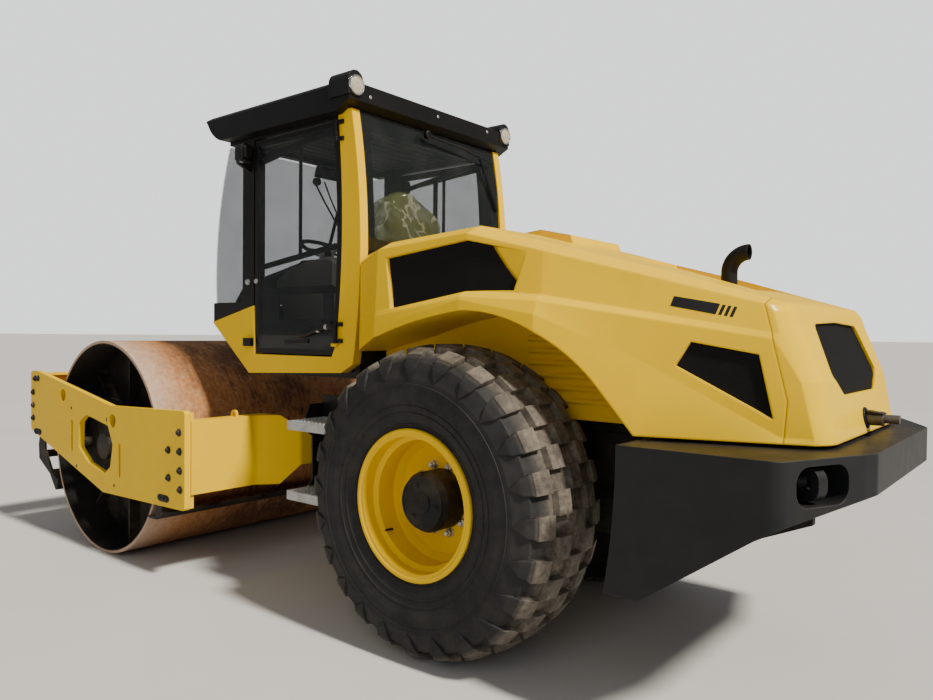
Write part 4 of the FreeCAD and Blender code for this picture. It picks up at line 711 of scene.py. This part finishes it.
def pad(name, centre, half, tilt, crown, thin):
    """Stuffed piece with rounded edges and crowned faces. half and crown are in millimetres, tilt is in
    degrees about Y, and thin is the axis that the piece bulges along."""
    points, faces = cube_grid(PAD_CELLS)
    turn = Matrix.Rotation(math.radians(tilt), 3, "Y")
    placed = []
    for p in points:
        q = p / (sum(abs(c) ** PAD_SQUARENESS for c in p) ** (1 / PAD_SQUARENESS))
        u, v = q[(thin + 1) % 3], q[(thin + 2) % 3]
        local = Vector([q[k] * half[k] / 1000 for k in range(3)])
        local[thin] += math.copysign(crown / 1000 * max(0.0, 1 - u * u) * max(0.0, 1 - v * v), q[thin])
        local *= 1 + 0.006 * noise.noise(local * 14 + centre)
        placed.append(centre + turn @ local)
    shape = Shape()
    shape.add(placed, faces)
    obj = piece(name, shape, SLOT_FINISH["seat_cover"], "rear_frame", angle=80)
    return obj


BELLOWS_FOOT = 1346
BELLOWS_FOLD = 47
BELLOWS_FOLDS = 6
BACK_TILT = -6.6            # degrees, of the seat's back and what belongs to it
CUSHION_TILT = -2.0


def seat():
    """Operator's seat: bellows pedestal, crowned pads and armrests."""
    bellows = Shape()
    for i in range(BELLOWS_FOLDS):
        z0 = BELLOWS_FOOT + BELLOWS_FOLD * i
        wide = [at(x, y, z0 + 23) for x in (1040, 1440) for y in (-190, 190)]
        narrow = [at(x, y, z)
                  for z in (z0, z0 + BELLOWS_FOLD) for x in (1065, 1415) for y in (-165, 165)]
        bellows.hull(wide + narrow)
    bellows.hull([at(x, y, z) for x in (1010, 1470) for y in (-215, 215) for z in (1626, 1650)])
    base = piece("seat_bellows", bellows, SLOT_FINISH["rubber"], "rear_frame", 0.003)
    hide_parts("seat")
    pad("seat_cushion", at(1250, 0, 1700), (265, 255, 55), CUSHION_TILT, 18, 2)
    pad("seat_back", at(985, 0, 1960), (58, 235, 310), BACK_TILT, 16, 0)
    for side, sign in (("left", 1), ("right", -1)):
        pad("seat_bolster_" + side, at(1018, sign * 195, 1930), (52, 50, 255), BACK_TILT, 8, 0)
        pad("seat_thigh_pad_" + side, at(1260, sign * 215, 1735), (235, 48, 34), CUSHION_TILT,
            8, 2)
        pad("seat_armrest_" + side, at(1170, sign * 290, 1880), (175, 34, 30), 2.0, 5, 2)
        arm = Shape()
        arm.bar(at(990, sign * 262, 1760), at(1010, sign * 262, 1870), 0.050, 0.014, (1, 0, 0))
        arm.bar(at(1000, sign * 262, 1862), at(1300, sign * 262, 1862), 0.030, 0.014)
        piece("seat_arm_bracket_" + side, arm, BLACK, "rear_frame", 0.003)
    pad("seat_headrest", at(950, 0, 2262), (40, 105, 42), BACK_TILT, 6, 0)


FILM_ROWS, FILM_AROUND = 46, 120
FILM_FOOT, FILM_HEIGHT = 1.965, 0.500
FILM_SHOULDER = 0.62        # share of the height where the film starts to close over the top


def film_folds(point):
    """Heights of the large and the small folds at a point of the film, from about -0.5 to 0.5. The
    folds run down towards the right side."""
    along, square = 0.80 * point.y + 0.60 * point.z, 0.80 * point.z - 0.60 * point.y
    drawn = Vector((point.x, 0.30 * along, square))
    return (0.5 - abs(noise.noise(drawn * 5.0 + Vector((7, 3, 1)))),
            0.5 - abs(noise.noise(drawn * 13.0 + Vector((1, 9, 4)))))


def seat_film():
    """Plastic sheet pulled over the seat's back, open below and crumpled."""
    verts = []
    for i in range(FILM_ROWS + 1):
        h = i / FILM_ROWS
        dome = max(0.0, (h - FILM_SHOULDER) / (1 - FILM_SHOULDER))
        shrink = math.sqrt(max(0.0, 1 - dome ** 2.4))
        half_y = (0.262 + 0.030 * math.sin(math.pi * min(1.0, h / 0.9))) * (0.06 + 0.94 * shrink)
        half_x = (0.125 + 0.02 * math.sin(5 * h)) * (0.10 + 0.90 * shrink)
        centre = at(985 - 85 * h, 115 - 30 * h, 0) + Vector((0, 0, FILM_FOOT + FILM_HEIGHT * h))
        for k in range(FILM_AROUND):
            a = math.tau * k / FILM_AROUND
            c, s = math.cos(a), math.sin(a)
            point = centre + Vector((math.copysign(abs(c) ** 0.75, c) * half_x,
                                     math.copysign(abs(s) ** 0.75, s) * half_y, 0.0))
            large, small = film_folds(point)
            out = Vector((c * half_y, s * half_x, 0.0)).normalized()
            swell = (0.085 * (large - 0.32) + 0.022 * (small - 0.32)) * (0.35 + 0.65 * shrink)
            sag = 0.40 * (point.y - centre.y) * h - 0.044
            lift = (0.022 * (large - 0.3) + 0.010 * (small - 0.3) + sag) * min(1.0, 3 * h)
            verts.append(point + out * swell + Vector((0, 0, lift)))
    wrap = Shape()
    wrap.add(verts, sleeve(FILM_ROWS + 1, FILM_AROUND, start=False))
    film = piece("seat_film", wrap, FILM, "rear_frame", angle=50)


def wipers():
    """Sun visor, front wiper with its two arms, and rear wiper."""
    visor = Shape()
    visor.across(((2052, 2818), (2070, 2818), (2096, 2740), (2084, 2738)), (-385, -105))
    piece("sun_visor", visor, TRIM, "rear_frame", 0.004)
    front = Shape()
    front.tube([at(2118, -133, 2705), at(2138, -250, 2570), at(2150, -385, 2416)], 0.007)
    front.tube([at(2112, -221, 2722), at(2134, -300, 2612), at(2146, -384, 2494)], 0.006)
    front.bar(at(2156, -392, 2500), at(2176, -300, 2150), 0.026, 0.010, (0, 1, 0))
    front.turned([(0.030, 0.0), (0.030, 0.030), (0.024, 0.036)], at(2100, -150, 2712), (1, 0, 0.1), 20)
    piece("front_wiper", front, GLOSS, "rear_frame")
    rear = Shape()
    rear.tube([at(768, 100, 2806), at(762, -230, 2785), at(758, -560, 2746)], 0.007)
    rear.bar(at(757, -420, 2752), at(748, -600, 2420), 0.022, 0.010, (0, 1, 0))
    rear.turned([(0.026, 0.0), (0.026, 0.022), (0.020, 0.028)], at(776, 100, 2806), (-1, 0, 0), 20)
    piece("rear_wiper", rear, GLOSS, "rear_frame")


LINER_SLATS = 14
LINER_PITCH = 85


def cab_trim():
    """Window bars, slatted lining and bright bolts of the cab."""
    bars = Shape()
    for sign in (1, -1):
        bars.bar(at(1735, sign * 640, 2660), at(1000, sign * 640, 2768), 0.034, 0.016)
    bars.bar(at(1350, -640, 2712), at(1350, -640, 1990), 0.034, 0.016, (1, 0, 0))
    piece("window_bars", bars, GLOSS, "rear_frame", 0.002)
    lining = Shape()
    for i in range(LINER_SLATS):
        x0 = 860 + i * LINER_PITCH
        lining.across(((x0, 2843), (x0 + 78, 2843), (x0 + 70, 2829), (x0 + 8, 2829)), (-600, 600))
    piece("headliner", lining, LINER, "rear_frame")
    bolts = Shape()
    for y, z in ((586, 2919), (-508, 2950), (0, 2940)):
        bolts.head(at(769.5, y, z), (-1, 0, 0), 0.015, 0.005, 0.010)
    for sign in (1, -1):
        bolts.head(at(1788, sign * 690, 1894), (0, sign, 0), 0.030, 0.012, 0.020)
    piece("cab_bolts", bolts, STEEL, "rear_frame")


def console():
    """Side console with its two levers, and the lining of the rear pillars."""
    levers = Shape()
    for x, z in ((1300, 2052), (1420, 2030)):
        levers.tube([at(x, 405, z - 24), at(x - 12, 405, z + 34)], 0.009)
        levers.turned([(0.016, 0.0), (0.021, 0.010), (0.022, 0.024), (0.016, 0.036), (0.005, 0.042)],
                      at(x - 12, 405, z + 28), (-0.2, 0, 1), 20)
    piece("drive_levers", levers, STEEL, "rear_frame")
    box = Shape()
    box.across(((1210, 1346), (1560, 1346), (1780, 1880), (1770, 1925), (1640, 1985), (1480, 2025),
                (1270, 2050), (1215, 2020)), (345, 475))
    piece("side_console", box, CONSOLE, "rear_frame", 0.022)
    lining = Shape()
    for sign in (1, -1):
        for outline in (((800, 2055), (792, 2120), (801, 2340), (905, 2340), (905, 2055)),
                        ((801, 2340), (816, 2560), (858, 2826), (905, 2826), (905, 2340))):
            lining.across(outline, (sign * 625, sign * 630))
    piece("pillar_lining", lining, SLOT_FINISH["interior"], "rear_frame")


DOOR_LINING_Y = 666         # middle of the bars behind a door's glass
DOOR_LEVER_Y = 697          # middle of the lever in front of it
# Lower panel of a door, with its window, as X and Z in millimetres
PANEL_X = (985, 1655)
PANEL_Z = (1478, 1850)
PANEL_WINDOW_X = (1070, 1492)
PANEL_WINDOW_Z = (1640, 1822)


def door_panel(side, sign, body):
    """Lower panel of one door, in four strips around its window."""
    panel = Shape()
    (rear, front), (low, high) = PANEL_X, PANEL_Z
    (window_rear, window_front), (sill, top) = PANEL_WINDOW_X, PANEL_WINDOW_Z
    for x0, x1, z0, z1 in ((rear, front, low, sill), (rear, front, top, high),
                           (rear, window_rear, sill, top), (window_front, front, sill, top)):
        panel.hull([at(x, sign * y, z) for x in (x0, x1) for z in (z0, z1) for y in (660, 672)])
    piece("door_panel_" + side, panel, SLOT_FINISH["interior"], body, 0.002)


def door_window_frame(side, sign, body):
    """Bright line around the window of a door's lower panel."""
    line = Shape()
    (rear, front), (sill, top) = PANEL_WINDOW_X, PANEL_WINDOW_Z
    y = sign * 676
    line.bar(at(rear, y, sill + 2), at(front, y, sill + 2), 0.012, 0.008)
    line.bar(at(rear, y, top - 2), at(front, y, top - 2), 0.010, 0.008)
    line.bar(at(front - 4, y, sill), at(front - 4, y, top), 0.012, 0.008, (1, 0, 0))
    piece("door_window_frame_" + side, line, SLOT_FINISH["step_grey"], body, 0.001)


def door_trim(side, sign):
    """Lower panel, bars, hinge pin, lever and bolts of one door."""
    body = "door_" + side
    out = (0, sign, 0)
    door_panel(side, sign, body)
    bars = Shape()
    y = sign * DOOR_LINING_Y
    bars.bar(at(1672, y, 2686), at(962, y, 2744), 0.030, 0.014)
    bars.bar(at(1672, y, 1985), at(962, y, 2076), 0.034, 0.014)
    bars.bar(at(1290, y, 2714), at(1290, y, 2034), 0.022, 0.012, (1, 0, 0))
    piece("door_bars_" + side, bars, GLOSS, body, 0.002)
    pin = Shape()
    pin.turned([(0.011, 0.0), (0.011, 0.040), (0.009, 0.044)],
               at(952, sign * 704, 1499), (-1, 0, 0), 16)
    piece("door_pin_" + side, pin, SLOT_FINISH["cab_yellow"], body)
    door_window_frame(side, sign, body)
    lever = Shape()
    lever.tube([at(x, sign * (DOOR_LEVER_Y + bow), z)
                for x, bow, z in ((1262, 0, 1549), (1190, 0, 1556), (1110, 5, 1580), (1060, 7, 1592),
                                  (974, 0, 1609))], 0.013)
    lever.across(((1180, 1530), (1400, 1524), (1402, 1500), (1180, 1506)), (sign * 688.5, sign * 696))
    lever.turned([(0.026, 0.0), (0.026, 0.014), (0.020, 0.018)], at(974, sign * 688.5, 1609), out, 24)
    piece("door_lever_" + side, lever, GLOSS, body, 0.001)
    bright = Shape()
    for x, y, z in ((1081, 702, 1585), (1009, 702, 1603), (1702, 688.5, 1897)):
        bright.head(at(x, sign * y, z), out, 0.022, 0.010, 0.016)
    piece("door_bolts_" + side, bright, STEEL, body)


DECAL_LIFT = 0.0008         # film over the paint
# Corners of the dark band, and the top of each stripe behind it, as X and Z in millimetres
BAND = ((-1156, 1730), (-1330, 1697), (-1315, 1655), (-1143, 1690))
STRIPES = ((-1345, 1694), (-1366, 1690), (-1387, 1686))


def hood_side(sign):
    """Function that finds the place on the hood's outer side for an X and Z in millimetres."""
    mesh = NODES["hood_front_shell"].data
    tree = BVHTree.FromPolygons([v.co for v in mesh.vertices],
                                [tuple(p.vertices) for p in mesh.polygons])

    def find(x, z):
        place = tree.ray_cast(at(x, sign * 1200, z), Vector((0, -sign, 0)))[0]
        return place + Vector((0, sign, 0)) * DECAL_LIFT

    return find


def hood_band(side, sign):
    """Plain dark band and three slanting stripes on the hood's side, towards the rear."""
    find = hood_side(sign)
    shape = Shape()

    def patch(corners, along, down):
        first, second, third, fourth = (Vector(corner) for corner in corners)
        grid = []
        for i in range(along + 1):
            top, foot = first.lerp(second, i / along), fourth.lerp(third, i / along)
            grid += [find(*top.lerp(foot, j / down)) for j in range(down + 1)]
        row = down + 1
        shape.add(grid, [(i * row + j, (i + 1) * row + j, (i + 1) * row + j + 1, i * row + j + 1)
                         for i in range(along) for j in range(down)])

    patch(BAND, 10, 4)
    for x, z in STRIPES:
        patch(((x + 6, z), (x - 6, z - 2), (x + 9, z - 42), (x + 21, z - 40)), 2, 4)
    piece("hood_band_" + side, shape, GLOSS, "hood")


def latch_trim():
    """Base plate and lock of the hood's handle."""
    shape = Shape()
    shape.turned([(0.046, 0.0), (0.046, 0.008), (0.040, 0.012)], at(-1712, 0, 1222), (-1, 0, 0.19), 32)
    shape.across(((-1722, 1256), (-1790, 1246), (-1790, 1240), (-1722, 1240)), (-34, 34))
    piece("latch_base", shape, GLOSS, "hood", 0.002)


def step_trim():
    """Raised teeth on the two treads, in five staggered rows."""
    teeth = Shape()
    for top, i, j in itertools.product((1064, 663), range(9), range(5)):
        teeth.turned([(0.009, 0.0), (0.008, 0.003), (0.0055, 0.0035)],
                     at(812 + 33 * i + (8 if j % 2 else 0), 722 + 40 * j, top - 0.5), (0, 0, 1), 12)
    piece("step_teeth", teeth, SLOT_FINISH["step_grey"], "rear_frame")


def lens_glass():
    """Cream ribbed glass of the lamps."""
    f = Finish("lamp_lens", roughness=0.12, coat=0.8)
    ribs = f.voronoi(90.0, stretch=(1.0, 3.0, 0.4))
    shade = f.mix(f.ramp(ribs, 0.1, 0.6), (0.62, 0.58, 0.44), (0.36, 0.34, 0.27))
    return f.done(shade, 0.12, f.bump(ribs, 0.35, 0.002))


def wrap_film():
    """Thin crumpled plastic film, pale green, with a painted highlight along its folds."""
    f = Finish("film", roughness=0.12, specular=0.8, coat=1.0, coat_roughness=0.05)
    creases = f.noise(6.0, 3, 0.45, stretch=(1.0, 0.6, 0.8), distortion=1.2)
    fold_highlight = f.ramp(f.math("ABSOLUTE", f.math("SUBTRACT", creases, 0.5)), 0.0, 0.035, 1.0, 0.0)
    # Painted highlight: the folds get a near-white colour in place of the light that glints on them.
    shade = f.mix(fold_highlight, (0.33, 0.38, 0.12), (0.90, 0.94, 0.74))
    f.put(f.shader.inputs["Alpha"], f.ramp(fold_highlight, 0.0, 1.0, 0.66, 0.94))
    return f.done(shade, 0.12, f.bump(creases, 0.35, 0.008))


CONSOLE = moulded_plastic("console_plastic", (0.115, 0.108, 0.100), 0.45)
LINER = moulded_plastic("liner_plastic", (0.030, 0.032, 0.034), 0.5)
LENS = lens_glass()
FILM = wrap_film()


def build_pieces():
    for side, sign in (("left", 1), ("right", -1)):
        tyre_trim(side, sign)
        rim_trim(side, sign)
        plate_trim(side, sign)
        door_trim(side, sign)
        hood_band(side, sign)
    lamp_trim()
    seat()
    seat_film()
    wipers()
    cab_trim()
    console()
    latch_trim()
    step_trim()


# Studio

# Camera fitted to the photograph: place in metres, angles in degrees, lens in pixels of its width
CAMERA_PLACE = (-3.5565, 3.689, 1.566)
CAMERA_YAW = -50.92
CAMERA_PITCH = -1.14
CAMERA_ROLL = 0.53
IMAGE_WIDTH = 933
FOCAL_PIXELS = 772.6
SENSOR = 36.0

# Light: the sun shines from the rear, as the shadows in the photograph show
SUN_DIRECTION = (0.665, -0.03, -0.745)
SUN_POWER = 6.2
SUN_ANGLE = 6.0
SUN_COLOUR = (1.0, 0.95, 0.84)
FILL_PLACE = (-5.0, 8.0, 5.0)
FILL_TARGET = (0.0, 0.0, 1.0)
FILL_SIZE = 6.0
FILL_POWER = 170.0
FILL_COLOUR = (1.0, 0.97, 0.92)
SKY_COLOUR = (0.90, 0.91, 0.93, 1.0)
SKY_LIGHT = 0.30            # strength of the sky as a light
SKY_SEEN = 1.6              # strength of the sky in view
FLOOR_HALF = 400.0


def camera():
    """Camera at the photograph's place and angle."""
    yaw, pitch, roll = (math.radians(a) for a in (CAMERA_YAW, CAMERA_PITCH, CAMERA_ROLL))
    forward = Vector((math.cos(yaw) * math.cos(pitch), math.sin(yaw) * math.cos(pitch),
                      math.sin(pitch)))
    level = forward.cross(Vector((0, 0, 1))).normalized()
    upright = level.cross(forward)
    right = math.cos(roll) * level + math.sin(roll) * upright
    up = -math.sin(roll) * level + math.cos(roll) * upright
    data = bpy.data.cameras.new("photo_camera")
    data.sensor_width = SENSOR
    data.lens = SENSOR * FOCAL_PIXELS / IMAGE_WIDTH
    shot = bpy.data.objects.new("photo_camera", data)
    turn = Matrix((right, up, -forward)).transposed().to_4x4()
    shot.matrix_world = Matrix.Translation(CAMERA_PLACE) @ turn
    bpy.context.scene.collection.objects.link(shot)
    bpy.context.scene.camera = shot


def floor():
    """Wide pale floor."""
    f = Finish("studio_floor", roughness=0.75, specular=0.2)
    tone = f.mix(f.noise(0.8, 6), (0.50, 0.49, 0.475), (0.57, 0.56, 0.545))
    f.done(tone, None, f.bump(f.noise(40.0, 6), 0.1, 0.002))
    mesh = bpy.data.meshes.new("studio_floor")
    corners = ((-1, -1), (1, -1), (1, 1), (-1, 1))
    mesh.from_pydata([(x * FLOOR_HALF, y * FLOOR_HALF, 0) for x, y in corners], [], [(0, 1, 2, 3)])
    mesh.materials.append(f.material)
    plane = bpy.data.objects.new("studio_floor", mesh)
    bpy.context.scene.collection.objects.link(plane)


def light(name, kind, direction, place=(0, 0, 0), **settings):
    """Light at a place that shines along a direction."""
    data = bpy.data.lights.new(name, kind)
    for key, value in settings.items():
        setattr(data, key, value)
    lamp = bpy.data.objects.new(name, data)
    lamp.location = place
    lamp.rotation_mode = "QUATERNION"
    lamp.rotation_quaternion = Vector(direction).to_track_quat("-Z", "Y")
    bpy.context.scene.collection.objects.link(lamp)


def studio():
    """Floor, even sky, sun and a soft fill from the left."""
    floor()
    world = bpy.data.worlds.new("studio")
    world.use_nodes = True
    nodes, links = world.node_tree.nodes, world.node_tree.links
    sky = nodes["Background"]
    sky.inputs["Color"].default_value = SKY_COLOUR
    strength = nodes.new("ShaderNodeMapRange")
    strength.inputs["To Min"].default_value = SKY_LIGHT
    strength.inputs["To Max"].default_value = SKY_SEEN
    links.new(nodes.new("ShaderNodeLightPath").outputs["Is Camera Ray"], strength.inputs["Value"])
    links.new(strength.outputs["Result"], sky.inputs["Strength"])
    bpy.context.scene.world = world
    light("key", "SUN", SUN_DIRECTION, energy=SUN_POWER, angle=math.radians(SUN_ANGLE),
          color=SUN_COLOUR)
    light("fill", "AREA", Vector(FILL_TARGET) - Vector(FILL_PLACE), FILL_PLACE, shape="DISK",
          size=FILL_SIZE, energy=FILL_POWER, color=FILL_COLOUR)


dress_nodes()
build_pieces()
camera()
studio()
